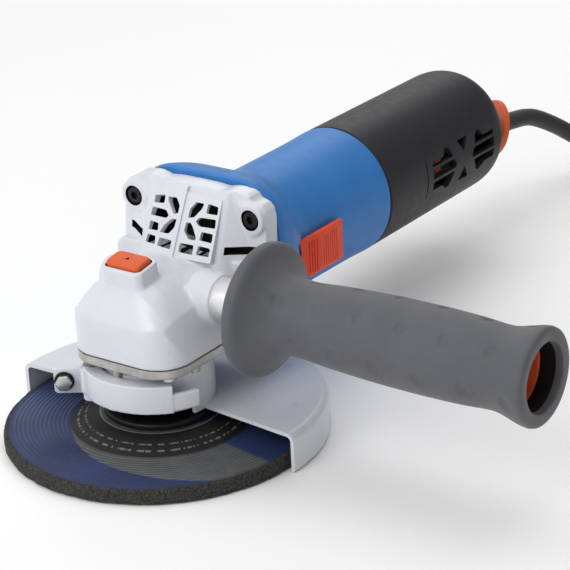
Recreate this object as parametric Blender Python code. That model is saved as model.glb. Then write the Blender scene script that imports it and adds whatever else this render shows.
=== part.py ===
"""Corded 125 mm angle grinder, modelled as its separate pieces.

The origin is on the spindle axis in the plane of the wheel's lower face. +Z points up the spindle,
+Y runs back along the motor and +X points at the side handle. Lengths are in millimetres and
angles in degrees, and each solid is scaled to metres as it is made.
"""

import math

import bmesh
import bpy
from mathutils import Matrix, Vector

MM = 0.001
GAP = 0.3

# Driving dimensions.
WHEEL_R = 62.5
WHEEL_THICK = 6.0
MOTOR_Z = 59.2
SEAM_Y = 126.3
COVER_END_Y = 226.0
HANDLE_Y, HANDLE_Z = 6.4, 59.7
HANDLE_FLANGE_X, HANDLE_END_X = 46.0, 167.0
NOSE_FRONT_Y, NOSE_HALF = -25.5, 25.5
HOUSING_Z0, HOUSING_TOP_Z = 39.3, 72.0
FLANGE_Y0, FLANGE_Y1 = 26.0, 35.0
SCREW_X, SCREW_RISE = 28.4, 25.6
GUARD_R, GUARD_SHEET, GUARD_TOP_Z = 66.4, 1.6, 16.0
COLLAR_R = 21.9
CORD_R = 4.25

# Bevel gears, whose cones meet at the crossing of the two shafts.
GEAR_TEETH, PINION_TEETH = 30, 8
GEAR_R = 20.5
CONE_SHARE = 0.68
MODULE = 2 * GEAR_R / GEAR_TEETH
ADDENDUM, DEDENDUM = 0.8 * MODULE, 1.1 * MODULE

# Spindle lock.
BUTTON_Y, PIN_Y = -13.0, -10.8
POCKET_Z = 68.5

# Clamp lever and its bolt, on the guard's collar.
PIVOT_R, PIVOT_DEG = 26.5, -132.0
EAR_DEG = -147.0
LEVER_Z0, LEVER_Z1 = 21.0, 32.4
BOLT_R, BOLT_Z = 35.6, 24.6

# Cord: its outlet, the stored coil and the plug.
OUTLET = Vector((0.0, 218.5, 50.9))
OUTLET_DROP_DEG = 5.2
SLEEVE_LENGTH = 46.5
RING_CENTRE = Vector((0.0, 261.5, 46.9))
RING_YAW_DEG, RING_DROP_DEG = 34.0, 14.0
COIL_X, COIL_Y, COIL_MEAN_R = 78.0, 405.0, 50.0
COIL_TURN_R = COIL_MEAN_R + 2 * CORD_R
CLEAR_OF_COIL = 33.0
PLUG_Z = 8.2


def clear_scene():
    for obj in list(bpy.data.objects):
        bpy.data.objects.remove(obj)


def material(name, colour, roughness, metallic=0.0):
    made = bpy.data.materials.new(name)
    made.use_nodes = True
    shader = made.node_tree.nodes["Principled BSDF"]
    shader.inputs["Base Color"].default_value = (*colour, 1.0)
    shader.inputs["Roughness"].default_value = roughness
    shader.inputs["Metallic"].default_value = metallic
    made.diffuse_color = (*colour, 1.0)
    return made


def polar(radius, degrees):
    angle = math.radians(degrees)
    return radius * math.cos(angle), radius * math.sin(angle)


def arc(radius, start, end, steps, centre=(0.0, 0.0)):
    """Points along an arc, both ends included."""
    points = []
    for i in range(steps + 1):
        u, v = polar(radius, start + (end - start) * i / steps)
        points.append((centre[0] + u, centre[1] + v))
    return points


def circle(radius, steps, centre=(0.0, 0.0)):
    return arc(radius, 0, 360, steps, centre)[:-1]


def rounded_box(half_u, half_v, radius, steps=4, centre=(0.0, 0.0)):
    points = []
    corners = ((1, 1, 0), (-1, 1, 90), (-1, -1, 180), (1, -1, 270))
    for side_u, side_v, start in corners:
        middle = (centre[0] + side_u * (half_u - radius), centre[1] + side_v * (half_v - radius))
        points += arc(radius, start, start + 90, steps, middle)
    return points


def on_axis(axis, u, v, along):
    """A point given by its two coordinates across an axis and its place along it."""
    return {"X": (along, u, v), "Y": (u, along, v), "Z": (u, v, along)}[axis]


def skin(loops, closed=False):
    """A solid through loops of equal count, capped at its ends unless the row of loops closes."""
    made = bmesh.new()
    rings = [[made.verts.new(point) for point in loop] for loop in loops]
    count = len(rings[0])
    for i in range(len(rings) - (0 if closed else 1)):
        near, far = rings[i], rings[(i + 1) % len(rings)]
        for j in range(count):
            made.faces.new((near[j], near[(j + 1) % count], far[(j + 1) % count], far[j]))
    if not closed:
        made.faces.new(rings[0])
        made.faces.new(rings[-1])
    bmesh.ops.recalc_face_normals(made, faces=made.faces)
    return made


def prism(outline, low, high, axis="Z"):
    return skin([[on_axis(axis, u, v, end) for u, v in outline] for end in (low, high)])


def box(low, high):
    return prism([(low[0], low[1]), (high[0], low[1]), (high[0], high[1]), (low[0], high[1])], low[2], high[2])


def turned(profile, steps=24, axis="Z", centre=(0.0, 0.0)):
    """A profile of (radius, place along the axis) turned about the axis. Radius 0 closes it there."""
    made = bmesh.new()
    rings = []
    for radius, along in profile:
        points = circle(radius, steps, centre) if radius else [centre]
        rings.append([made.verts.new(on_axis(axis, u, v, along)) for u, v in points])
    for near, far in zip(rings, rings[1:] + rings[:1]):
        if len(near) == 1 and len(far) == 1:
            continue
        for j in range(steps):
            corners = [near[j % len(near)], near[(j + 1) % len(near)]]
            corners += [far[(j + 1) % len(far)], far[j % len(far)]]
            made.faces.new(list(dict.fromkeys(corners)))
    bmesh.ops.recalc_face_normals(made, faces=made.faces)
    return made


def cylinder(radius, low, high, axis="Z", centre=(0.0, 0.0), steps=16):
    return prism(circle(radius, steps, centre), low, high, axis)


def ring(inner, outer, low, high, axis="Z", centre=(0.0, 0.0), steps=24):
    return turned([(inner, low), (outer, low), (outer, high), (inner, high)], steps, axis, centre)


def together(*shapes):
    """Separate shapes in one mesh, for use as one cutter."""
    made = bmesh.new()
    for shape in shapes:
        part = bpy.data.meshes.new("part")
        shape.to_mesh(part)
        shape.free()
        made.from_mesh(part)
        bpy.data.meshes.remove(part)
    return made


def moved(shape, matrix):
    bmesh.ops.transform(shape, matrix=matrix, verts=shape.verts)
    return shape


def solid(name, shape, look, pivot=None, helper=False):
    """An object from a shape. Its origin is on its pivot, an empty, where it has one."""
    at = Vector(pivot.location) if pivot else Vector()
    bmesh.ops.scale(shape, vec=(MM, MM, MM), verts=shape.verts)
    bmesh.ops.translate(shape, vec=-at, verts=shape.verts)
    mesh = bpy.data.meshes.new(name)
    shape.to_mesh(mesh)
    shape.free()
    obj = bpy.data.objects.new(name, mesh)
    bpy.context.scene.collection.objects.link(obj)
    if look:
        mesh.materials.append(look)
    if helper:
        obj.hide_render = True
        obj.display_type = "WIRE"
    else:
        mesh.shade_smooth()
        mesh.set_sharp_from_angle(angle=math.radians(35))
    if pivot:
        obj.parent = pivot
    return obj


def combine(obj, operation, *shapes):
    """Boolean modifiers, one for each shape, which is kept as a hidden helper."""
    for i, shape in enumerate(shapes):
        name = f"{obj.name}_{operation.lower()}_{len(obj.modifiers)}_{i}"
        tool = solid(name, shape, None, obj.parent, helper=True)
        modifier = obj.modifiers.new(name, "BOOLEAN")
        modifier.operation = operation
        modifier.solver = "EXACT"
        modifier.object = tool
    return obj


def pivot_at(name, x, y, z):
    empty = bpy.data.objects.new(name, None)
    empty.location = (x * MM, y * MM, z * MM)
    empty.empty_display_size = 0.01
    bpy.context.scene.collection.objects.link(empty)
    return empty


def around_motor(dx, dz):
    return dx, MOTOR_Z + dz


def nose_outline(grow=0.0):
    """The gear head seen from above: parallel sides and a rounded front."""
    half, front, corner = NOSE_HALF + grow, NOSE_FRONT_Y - grow, 13.0
    right = arc(corner, -90, 0, 6, (half - corner, front + corner))
    left = arc(corner, 180, 270, 6, (corner - half, front + corner))
    back = 22.0 + grow
    return left + right + [(half, back), (-half, back)]


def housing_screw_places():
    return [around_motor(sx * SCREW_X, sz * SCREW_RISE) for sz in (1, -1) for sx in (-1, 1)]


def flange_screw_places():
    return [(sx * 19.0, y) for y in (-17.0, 17.0) for sx in (-1, 1)]


def gear_head_shape(obj):
    """Trims the nose, then adds the bulkhead that meets the motor housing and the button's boss."""
    side = [(-26.0, 38.0), (-25.8, 54.0), (-18.5, 69.5), (-14.5, HOUSING_TOP_Z), (30.0, 73.0), (30.0, 38.0)]
    shoulders = []
    for y, foot, bend, flat, top in ((-40.0, 44.0, 50.5, 9.0, 70.0), (-26.0, 44.0, 50.5, 9.0, 70.0),
                                     (-8.0, 50.0, 56.5, 10.5, 71.5), (6.0, 56.5, 61.0, 12.0, 73.5),
                                     (40.0, 60.0, 63.0, 12.5, 74.0)):
        half = [(flat, top), (24.5, bend), (28.0, foot), (28.0, 38.0)]
        shoulders.append([(-x, y, z) for x, z in reversed(half)] + [(x, y, z) for x, z in half])
    combine(obj, "INTERSECT", prism(side, -40, 40, "X"), skin(shoulders))
    levels = ((56.0, 10.0, 16.0, 24.5, 27.0), (73.0, 14.5, 20.0, 26.0, 27.5), (97.0, 30.5, 31.5, 29.0, 30.0))
    loops = []
    for z, middle, shoulder, ear, edge in levels:
        half = [(10.0, middle), (19.0, shoulder), (29.0, ear), (39.0, edge), (39.0, FLANGE_Y1 + 1.0)]
        outline = [(-x, y) for x, y in reversed(half)] + half
        loops.append([(x, y, z) for x, y in outline])
    return skin(loops)


def handle_pad(side):
    ends = ((12.0, 18.0), (7.0, 27.5))
    return skin([[on_axis("X", u, v, side * x) for u, v in circle(r, 22, (HANDLE_Y, HANDLE_Z))] for r, x in ends])


def gear_housing(look):
    obj = solid("gear_housing", prism(nose_outline(), HOUSING_Z0, 80.0), look)
    upper = gear_head_shape(obj)
    waist = prism(rounded_box(34.5, 14.2, 4.0, 3, (0.0, 54.2)), 20.6, FLANGE_Y1 + 2.0, "Y")
    heel = prism(rounded_box(35.5, 6.3, 1.5, 2, (0.0, 41.3)), 24.0, FLANGE_Y1 + 3.0, "Y")
    combine(obj, "UNION", upper, waist, heel)
    outline = prism(rounded_box(35.0, 36.6, 9.5, 4, around_motor(0, 0)), -40, 50.0, "Y")
    combine(obj, "INTERSECT", outline)
    ears = [cylinder(6.9, FLANGE_Y0, FLANGE_Y1 + 4.0, "Y", place, 20) for place in housing_screw_places()]
    boss = prism(rounded_box(9.9, 6.9, 3.5, 4, (0.0, BUTTON_Y)), 66.0, 76.3)
    pads = [handle_pad(side) for side in (-1, 1)]
    combine(obj, "UNION", *ears, boss, *pads)
    behind = box((-60.0, FLANGE_Y1, 0.0), (60.0, 60.0, 120.0))
    combine(obj, "DIFFERENCE", behind, *gear_head_cuts())
    return obj


def gear_head_cuts():
    chamber = cylinder(22.3, 30.0, 57.0, steps=24)
    needle_bore = cylinder(6.5, 50.0, 69.3)
    pinion_bore = cylinder(10.0, 4.0, 24.7, "Y", around_motor(0, 0), 18)
    seat = cylinder(15.3, 24.0, 40.0, "Y", around_motor(0, 0), 24)
    air = prism([(22.0, 77.0), (31.5, 92.0), (40.0, 92.0), (40.0, 77.0)], -20.0, 20.0, "X")
    slits = [box((x - 2.2, 10.0, z - 1.7), (x + 2.2, 38.0, z + 1.7))
             for x in (-14.0, -6.5, 6.5, 14.0) for z in (79.5, 84.5, 89.5)]
    pocket = prism(rounded_box(8.0, 5.3, 2.2, 3, (0.0, BUTTON_Y)), POCKET_Z, 80.0)
    pin_hole = cylinder(2.4, 50.0, 70.0, centre=(0.0, PIN_Y), steps=16)
    stud_holes = [cylinder(4.3, min(s * 20, s * 30), max(s * 20, s * 30), "X", (HANDLE_Y, HANDLE_Z))
                  for s in (-1, 1)]
    screw_holes = []
    for place in housing_screw_places():
        screw_holes.append(cylinder(2.4, 20.0, 40.0, "Y", place, 12))
        screw_holes.append(cylinder(4.6, 10.0, 29.0, "Y", place))
    flange_holes = [cylinder(1.9, 30.0, 46.0, centre=place, steps=10) for place in flange_screw_places()]
    return [chamber, needle_bore, pinion_bore, seat, air, together(*slits), pocket, pin_hole,
            together(*stud_holes), *screw_holes, together(*flange_holes)]


def bearing_flange(look):
    obj = solid("bearing_flange", prism(nose_outline(), 35.6, 39.0), look)
    body = turned([(0, 19.0), (20.0, 19.0), (20.0, 36.5), (22.0, 36.5), (22.0, 47.3), (0, 47.3)])
    lugs = [cylinder(2.2, 33.5, 37.0, centre=polar(22.2, degrees), steps=12) for degrees in (-95, -12, 78, 168)]
    bore = turned([(0, 10.0), (10.0, 10.0), (10.0, 36.5), (16.3, 36.5), (16.3, 50.0), (0, 50.0)])
    holes = [cylinder(2.0, 30.0, 45.0, centre=place, steps=12) for place in flange_screw_places()]
    combine(obj, "UNION", body, *lugs)
    return combine(obj, "DIFFERENCE", bore, together(*holes))


def screw(name, place, face, axis, head_r, head_length, shank_r, shank_length, look, into=1):
    """A cap screw with a six-lobed socket drawn as a hexagon, its head on the side away from `into`."""
    top = face - into * head_length
    tip = face + into * shank_length
    profile = [(0, top), (head_r * 0.85, top), (head_r, top + into * 0.5), (head_r, face)]
    profile += [(shank_r, face), (shank_r, tip), (0, tip)]
    obj = solid(name, turned(profile, 12, axis, place), look)
    socket_end = top + into * head_length * 0.6
    low, high = sorted((top - into, socket_end))
    return combine(obj, "DIFFERENCE", cylinder(head_r * 0.45, low, high, axis, place, 6))


def flange_screws(look):
    for i, place in enumerate(flange_screw_places()):
        screw(f"flange_screw_{i + 1}", place, 35.3, "Z", 3.0, 2.3, 1.6, 9.5, look)


def housing_screws(look):
    for i, place in enumerate(housing_screw_places()):
        screw(f"housing_screw_{i + 1}", place, 28.7, "Y", 3.7, 2.4, 1.7, 12.0, look)


def spindle(look, pivot):
    profile = [(0, 0), (6.2, 0), (6.9, 0.8), (6.9, 17.1), (8.6, 17.1), (8.6, 30.0), (7.2, 30.0), (7.2, 36.2),
               (5.7, 36.2), (5.7, 58.0), (3.7, 58.8), (3.7, 67.8), (0, 67.8)]
    solid("spindle", turned(profile, 20), look, pivot)


def tooth_ring(teeth, pitch_r, cone_sin, cone_cos, phase, share):
    """One loop of tooth corners as (angle, radius, depth below the cones' meeting point)."""
    pitch = 360.0 / teeth
    depth = pitch_r * cone_cos / cone_sin
    loop = []
    for k in range(teeth):
        middle = phase + k * pitch
        for offset, height in ((-0.27, -DEDENDUM), (-0.13, ADDENDUM), (0.13, ADDENDUM), (0.27, -DEDENDUM)):
            radius = pitch_r + height * cone_cos
            loop.append((middle + offset * pitch, radius * share, (depth - height * cone_sin) * share))
    return loop


def cone():
    slant = math.hypot(GEAR_TEETH, PINION_TEETH)
    return GEAR_TEETH / slant, PINION_TEETH / slant


def bevel_gear(look, pivot):
    cone_sin, cone_cos = cone()
    rings = []
    for share in (1.0, CONE_SHARE):
        loop = tooth_ring(GEAR_TEETH, GEAR_R, cone_sin, cone_cos, 90 + 180 / GEAR_TEETH, share)
        rings.append([(*polar(r, a), MOTOR_Z - depth) for a, r, depth in loop])
    angles = [a for a, _, _ in loop]
    for radius, z in ((13.2, 53.0), (6.0, 53.0), (6.0, 47.6), (17.5, 47.6)):
        rings.append([(*polar(radius, a), z) for a in angles])
    obj = solid("bevel_gear", skin(rings, closed=True), look, pivot)
    sockets = [cylinder(2.6, 40.0, 60.0, centre=polar(-PIN_Y, 90 + k * 90), steps=8) for k in range(4)]
    combine(obj, "DIFFERENCE", together(*sockets))


def pinion(look, pivot):
    cone_sin, cone_cos = cone()
    pitch_r = GEAR_R * PINION_TEETH / GEAR_TEETH
    rings = []
    for share in (CONE_SHARE, 1.0):
        loop = tooth_ring(PINION_TEETH, pitch_r, cone_cos, cone_sin, -90, share)
        rings.append([(polar(r, a)[0], depth, MOTOR_Z + polar(r, a)[1]) for a, r, depth in loop])
    angles = [a for a, _, _ in loop]
    for radius, y in ((4.2, 21.2), (6.6, 22.1), (6.6, 23.4)):
        rings.append([(polar(radius, a)[0], y, MOTOR_Z + polar(radius, a)[1]) for a in angles])
    obj = solid("pinion", skin(rings), look, pivot)
    combine(obj, "DIFFERENCE", cylinder(2.8, 17.2, 30.0, "Y", around_motor(0, 0), 16))


def wheel_set(looks, pivot):
    """The wheel's raised centre is hollow underneath, and the clamp nut sits in that hollow."""
    top, bottom = 10.3, 4.4
    profile = [(11.1, bottom), (22.5, bottom), (31.0, 0), (WHEEL_R, 0), (WHEEL_R, WHEEL_THICK),
               (36.0, WHEEL_THICK), (25.5, top), (11.1, top)]
    solid("grinding_wheel", turned(profile, 48), looks["wheel"], pivot)
    support = [(7.2, 6.0), (10.8, 6.0), (10.8, 10.6), (22.4, 10.6), (22.4, 13.0), (19.0, 14.4), (13.0, 14.4),
               (13.0, 16.8), (7.2, 16.8)]
    solid("inner_flange", turned(support), looks["black_steel"], pivot)
    nut = solid("clamp_nut", ring(7.2, 20.0, 0.6, 4.1), looks["steel"], pivot)
    holes = [cylinder(2.4, -1.0, 2.8, centre=polar(15.0, 90 * k), steps=10) for k in range(4)]
    combine(nut, "DIFFERENCE", together(*holes))


def lock_parts(looks):
    pivot = pivot_at("lock_axis", 0, BUTTON_Y, 73.0)
    cap = skin([[(x, y, z) for x, y in rounded_box(half_x, half_y, 2.0, 4, (0.0, BUTTON_Y))]
                for half_x, half_y, z in ((7.6, 4.9, 73.0), (7.6, 4.9, 76.4), (6.9, 4.2, 77.2))])
    solid("lock_button", cap, looks["orange"], pivot)
    solid("lock_pin", cylinder(2.0, 54.6, 72.7, centre=(0.0, PIN_Y), steps=16), looks["steel"], pivot)
    solid("lock_spring", spring_shape(68.9, 72.6, 2.6, 0.25, 4, (0.0, PIN_Y)), looks["steel"])


def spring_shape(low, high, radius, wire, turns, centre, per_turn=10, sides=4):
    """A helical wire, whose section is kept upright about the coil's axis."""
    loops = []
    rise = high - low - 2 * wire
    for i in range(turns * per_turn + 1):
        angle = 360.0 * i / per_turn
        z = low + wire + rise * i / (turns * per_turn)
        loop = []
        for u, v in circle(wire, sides):
            x, y = polar(radius + u, angle)
            loop.append((centre[0] + x, centre[1] + y, z + v))
        loops.append(loop)
    return skin(loops)


def bearings(look):
    middle = around_motor(0, 0)
    solid("spindle_bearing", ring(6.0, 16.0, 36.8, 46.8), look)
    solid("needle_bearing", ring(4.0, 6.2, 59.5, 68.9, steps=20), look)
    solid("front_bearing", ring(5.0, 15.0, 24.3, 33.3, "Y", middle), look)
    solid("rear_bearing", ring(4.0, 9.5, 146.0, 152.0, "Y", middle, 20), look)


def dust_seal(look):
    solid("dust_seal", ring(7.5, 9.7, 31.0, 36.0, steps=20), look)


def armature(looks, pivot):
    middle = around_motor(0, 0)
    shaft = [(0, 17.5), (2.5, 17.5), (2.5, 23.9), (4.7, 23.9), (4.7, 33.6), (5.7, 33.6), (5.7, 145.6), (3.7, 145.6),
             (3.7, 153.0), (0, 153.0)]
    solid("armature_shaft", turned(shaft, 16, "Y", middle), looks["steel"], pivot)
    solid("armature_core", ring(6.0, 14.5, 62.0, 108.0, "Y", middle, 24), looks["laminations"], pivot)
    solid("commutator", ring(6.0, 10.5, 120.0, 137.0, "Y", middle, 20), looks["copper"], pivot)
    hub = [(6.0, 41.0), (10.0, 41.0), (22.0, 49.0), (24.0, 50.0), (24.0, 52.0), (6.0, 52.0)]
    fan = solid("fan", turned(hub, 24, "Y", middle), looks["black"], pivot)
    blades = []
    for k in range(8):
        blade = box((-0.8, 41.5, 9.0), (0.8, 51.0, 23.2))
        turn = Matrix.Translation((0, 0, MOTOR_Z)) @ Matrix.Rotation(math.radians(45 * k), 4, "Y")
        blades.append(moved(blade, turn))
    combine(fan, "UNION", *blades)


def stator(looks):
    middle = around_motor(0, 0)
    solid("stator_core", ring(15.4, 22.2, 62.0, 108.0, "Y", middle), looks["laminations"])
    solid("field_coil_front", ring(15.8, 21.4, 54.6, 61.7, "Y", middle), looks["copper"])
    solid("field_coil_rear", ring(15.8, 21.4, 108.3, 116.0, "Y", middle), looks["copper"])
    solid("air_baffle", ring(12.0, 26.0, 36.2, 38.2, "Y", middle), looks["black"])
    bracket = solid("bearing_bracket", ring(9.8, 12.6, 145.0, 154.0, "Y", middle, 20), looks["black"])
    spokes = [box((-2.0, 147.0, MOTOR_Z + 11.5), (2.0, 152.0, MOTOR_Z + 21.0)),
              box((-2.0, 147.0, MOTOR_Z - 21.0), (2.0, 152.0, MOTOR_Z - 11.5))]
    combine(bracket, "UNION", ring(19.8, 22.2, 140.0, 154.0, "Y", middle), *spokes)


def brush_gear(looks):
    for i, side in enumerate((1, -1)):
        edges = sorted((MOTOR_Z + side * 11.6, MOTOR_Z + side * 22.3))
        holder = solid(f"brush_holder_{i + 1}", box((-4.6, 123.0, edges[0]), (4.6, 134.0, edges[1])), looks["brass"])
        combine(holder, "DIFFERENCE", box((-3.0, 124.8, edges[0] - 5), (3.0, 132.2, edges[1] + 5)))
        reach = sorted((MOTOR_Z + side * 10.8, MOTOR_Z + side * 19.0))
        solid(f"carbon_brush_{i + 1}", box((-2.7, 125.1, reach[0]), (2.7, 131.9, reach[1])), looks["carbon"])


def motor_sections():
    """Loops along the motor housing, from the square mounting flange to the round grip."""
    stations = ((35.3, 36.2, 37.2, 14.0), (39.5, 36.2, 37.3, 16.5), (46.0, 35.4, 35.9, 24.0), (52.0, 33.2, 33.4, 27.0),
                (58.0, 30.2, 30.6, 28.5), (64.0, 28.2, 28.6, 27.9), (72.0, 27.6, 27.6, 27.5), (110.0, 27.8, 27.8, 27.7),
                (126.0, 28.3, 28.3, 28.2))
    loops = []
    for y, half_x, half_z, corner in stations:
        outline = rounded_box(half_x, half_z, corner, 6, around_motor(0, 0))
        loops.append([(x, y, z) for x, z in outline])
    return loops


def motor_housing(look):
    middle = around_motor(0, 0)
    obj = solid("motor_housing", skin(motor_sections()), look)
    combine(obj, "UNION", cylinder(25.4, 120.0, 134.0, "Y", middle, 28))
    bore = turned([(0, 30.0), (27.4, 30.0), (27.4, 50.0), (25.2, 56.0), (25.2, 118.0), (23.5, 122.0), (23.5, 140.0),
                   (0, 140.0)], 24, "Y", middle)
    bed_edge = arc(28.25, -25.0, 17.0, 6, around_motor(0, 0))
    slider_bed = prism([*bed_edge, (45.0, bed_edge[-1][1]), (45.0, bed_edge[0][1])], 49.0, 76.0, "Y")
    slider_slot = box((20.0, 62.5, 55.2), (32.0, 78.8, 63.2))
    link_slot = box((20.0, 117.0, 56.4), (26.0, 136.0, 62.0))
    screw_holes = [cylinder(2.0, 30.0, 42.0, "Y", place, 12) for place in housing_screw_places()]
    cover_screw_hole = cylinder(1.6, 30.0, 38.0, centre=(0.0, 130.5), steps=12)
    return combine(obj, "DIFFERENCE", bore, slider_bed, slider_slot, link_slot, together(*screw_holes), cover_screw_hole)


def rear_cover(looks):
    middle = around_motor(0, 0)
    end = COVER_END_Y
    outer = [(25.8, SEAM_Y + 0.1), (28.3, SEAM_Y + 0.1), (28.3, end - 11.0), (27.9, end - 7.0), (26.8, end - 3.5),
             (24.8, end - 1.0), (21.0, end), (0, end), (0, end - 3.0), (21.5, end - 3.0), (25.2, end - 8.0),
             (25.8, end - 12.0)]
    obj = solid("rear_cover", turned(outer, 32, "Y", middle), looks["cover"])
    slots = [box((-32.0, y0, MOTOR_Z + z), (32.0, y1, MOTOR_Z + z + 2.6))
             for y0, y1 in ((162.0, 180.0), (190.0, 208.0)) for z in (-12.0, -7.2, -2.4, 2.4, 7.2)]
    outlet = cylinder(8.0, end - 6.0, end + 5.0, "Y", (OUTLET.x, OUTLET.z - 0.4), 20)
    screw_hole = cylinder(3.2, 25.0, 34.5, centre=(0.0, 130.5))
    combine(obj, "DIFFERENCE", together(*slots), outlet, screw_hole)
    screw("cover_screw", (0.0, 130.5), 33.2, "Z", 2.7, 1.9, 1.2, 4.5, looks["black_steel"])


def switch_parts(looks):
    slide = pivot_at("switch_axis", 29, 72, MOTOR_Z)
    start, end = -21.0, 12.5
    shell = arc(31.4, start, end, 6, around_motor(0, 0)) + arc(28.6, end, start, 6, around_motor(0, 0))
    slider = solid("switch_slider", prism(shell, 58.0, 86.0, "Y"), looks["red"], slide)
    slant = prism([(28.9, 56.0), (32.6, 70.5), (36.0, 70.5), (36.0, 56.0)], 40.0, 80.0)
    combine(slider, "DIFFERENCE", slant)
    combine(slider, "UNION", box((22.8, 70.2, 55.8), (30.0, 78.0, 62.6)))
    solid("switch_link", box((22.8, 78.4, 57.2), (24.5, 160.0, 61.2)), looks["black"], slide)
    solid("switch_module", box((7.0, 161.0, 50.4), (21.5, 186.0, 68.0)), looks["black"])
    solid("capacitor", cylinder(6.0, 162.0, 186.0, "Y", (-13.0, MOTOR_Z)), looks["capacitor"])


def guard(looks, pivot):
    inside_r = GUARD_R - GUARD_SHEET
    plate_z = GUARD_TOP_Z - GUARD_SHEET
    hood = [(21.0, plate_z), (inside_r - 1.5, plate_z), (inside_r, plate_z - 1.5), (inside_r, 0.5), (GUARD_R, 0.5),
            (GUARD_R, 12.8), (GUARD_R - 0.9, 15.1), (GUARD_R - 3.2, GUARD_TOP_Z), (21.0, GUARD_TOP_Z)]
    obj = solid("guard", turned(hood, 48), looks["white"], pivot)
    combine(obj, "DIFFERENCE", box((-80.0, -80.0, -5.0), (80.0, -4.8, 30.0)))
    pin_x, pin_y = polar(PIVOT_R, PIVOT_DEG)
    ear = box((21.0, -1.6, 17.0), (41.0, 1.6, 32.0))
    shelf = prism(circle(3.6, 16, (pin_x, pin_y)), 18.0, 20.6)
    bridge = moved(box((21.0, -3.4, 18.2), (25.0, 3.4, 20.4)), Matrix.Rotation(math.radians(PIVOT_DEG), 4, "Z"))
    combine(obj, "UNION", ring(20.4, COLLAR_R, plate_z + 0.1, 33.0))
    combine(obj, "DIFFERENCE", box((-30.0, -30.0, 10.0), (30.0, -5.2, 17.6)))
    combine(obj, "UNION", moved(ear, ear_turn()), shelf, bridge)
    bolt_hole = cylinder(2.0, -6.0, 6.0, "Y", (BOLT_R, BOLT_Z), 12)
    pin_hole = cylinder(2.2, 10.0, 40.0, centre=(pin_x, pin_y), steps=12)
    combine(obj, "DIFFERENCE", moved(bolt_hole, ear_turn()), pin_hole)


def ear_turn():
    return Matrix.Rotation(math.radians(EAR_DEG), 4, "Z")


def clamp_parts(looks, guard_pivot):
    """The bolt runs along the tangent through the ear, its head to the front and its nut behind."""
    front, back = 1.9, -1.9
    bolt = prism(circle(3.4, 6, (BOLT_R, BOLT_Z)), front, front + 3.2, "Y")
    bolt = solid("clamp_bolt", moved(bolt, ear_turn()), looks["steel"], guard_pivot)
    shank = cylinder(1.7, -7.0, front + 1.0, "Y", (BOLT_R, BOLT_Z), 12)
    combine(bolt, "UNION", moved(shank, ear_turn()))
    nut = turned([(2.0, back), (3.6, back), (3.6, back - 3.0), (2.0, back - 3.0)], 12, "Y", (BOLT_R, BOLT_Z))
    solid("clamp_bolt_nut", moved(nut, ear_turn()), looks["steel"], guard_pivot)
    pin = [(0, 16.8), (1.9, 16.8), (1.9, 31.3), (3.2, 31.3), (3.2, 32.4), (0, 32.4)]
    centre = polar(PIVOT_R, PIVOT_DEG)
    solid("lever_pin", turned(pin, 12, "Z", centre), looks["steel"], guard_pivot)


def clamp_lever(look, guard_pivot):
    pin_x, pin_y = polar(PIVOT_R, PIVOT_DEG)
    pivot = pivot_at("lever_axis", pin_x, pin_y, LEVER_Z0)
    outline = arc(29.8, -130, -41, 12) + arc(23.4, -41, -130, 12)
    obj = solid("clamp_lever", prism(outline, LEVER_Z0, LEVER_Z1), look, pivot)
    tab = arc(29.5, -43, -18, 6) + arc(27.2, -18, -43, 6)
    eye = cylinder(4.4, LEVER_Z0, 30.9, centre=(pin_x, pin_y))
    combine(obj, "UNION", prism(tab, 21.6, 28.6), eye)
    head_room = cylinder(3.6, 30.9, 40.0, centre=(pin_x, pin_y), steps=12)
    combine(obj, "DIFFERENCE", cylinder(2.3, 10.0, 40.0, centre=(pin_x, pin_y), steps=12), head_room)


def side_handle(looks):
    centre = (HANDLE_Y, HANDLE_Z)
    x0, x1 = HANDLE_FLANGE_X, HANDLE_END_X
    solid("handle_stud", cylinder(3.8, 21.6, x0 + 15.0, "X", centre), looks["steel"])
    solid("handle_collar", ring(4.2, 9.6, 27.9, x0 - 0.3, "X", centre, 24), looks["steel"])
    profile = [(4.2, x0), (22.0, x0), (25.3, x0 + 0.7), (26.0, x0 + 2.0), (25.7, x0 + 4.2), (21.0, x0 + 8.0),
               (17.0, x0 + 12.0), (14.6, x0 + 19.0), (15.4, x0 + 38.0), (16.3, x0 + 57.0), (16.4, x0 + 76.0),
               (15.3, x0 + 104.0), (16.1, x0 + 111.0), (17.8, x0 + 116.0),
               (18.2, x1 - 2.0), (17.6, x1), (12.9, x1), (12.9, x1 - 39.0), (0, x1 - 39.0), (0, x0 + 15.5),
               (4.2, x0 + 15.5)]
    solid("handle_grip", turned(profile, 28, "X", centre), looks["rubber"])
    liner = [(0, x1 - 38.7), (12.6, x1 - 38.7), (12.6, x1 - 12.0), (10.8, x1 - 12.0), (10.8, x1 - 36.5), (0, x1 - 36.5)]
    solid("handle_insert", turned(liner, 20, "X", centre), looks["orange"])


def outlet_frame():
    """Carries a shape turned about its own Y axis to the cord's outlet, which points a little down."""
    return Matrix.Translation(OUTLET) @ Matrix.Rotation(math.radians(-OUTLET_DROP_DEG), 4, "X")


def cord_fittings(looks):
    sleeve = [(0, 0), (9.0, 0), (9.0, 3.4), (7.0, 3.4), (7.0, 8.6), (7.6, 8.6), (5.2, 30.0), (5.0, SLEEVE_LENGTH),
              (0, SLEEVE_LENGTH)]
    solid("cord_sleeve", moved(turned(sleeve, 20, "Y"), outlet_frame()), looks["cord"])
    lean = Matrix.Rotation(math.radians(-RING_YAW_DEG), 4, "Z") @ Matrix.Rotation(math.radians(-RING_DROP_DEG), 4, "X")
    hanging = ring(7.9, 13.4, -1.5, 1.5, "Y", steps=24)
    solid("cord_ring", moved(hanging, Matrix.Translation(RING_CENTRE) @ lean), looks["orange"])
    solid("cord_clamp", box((-9.0, 194.0, 40.6), (9.0, 204.0, 45.0)), looks["black"])


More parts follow.
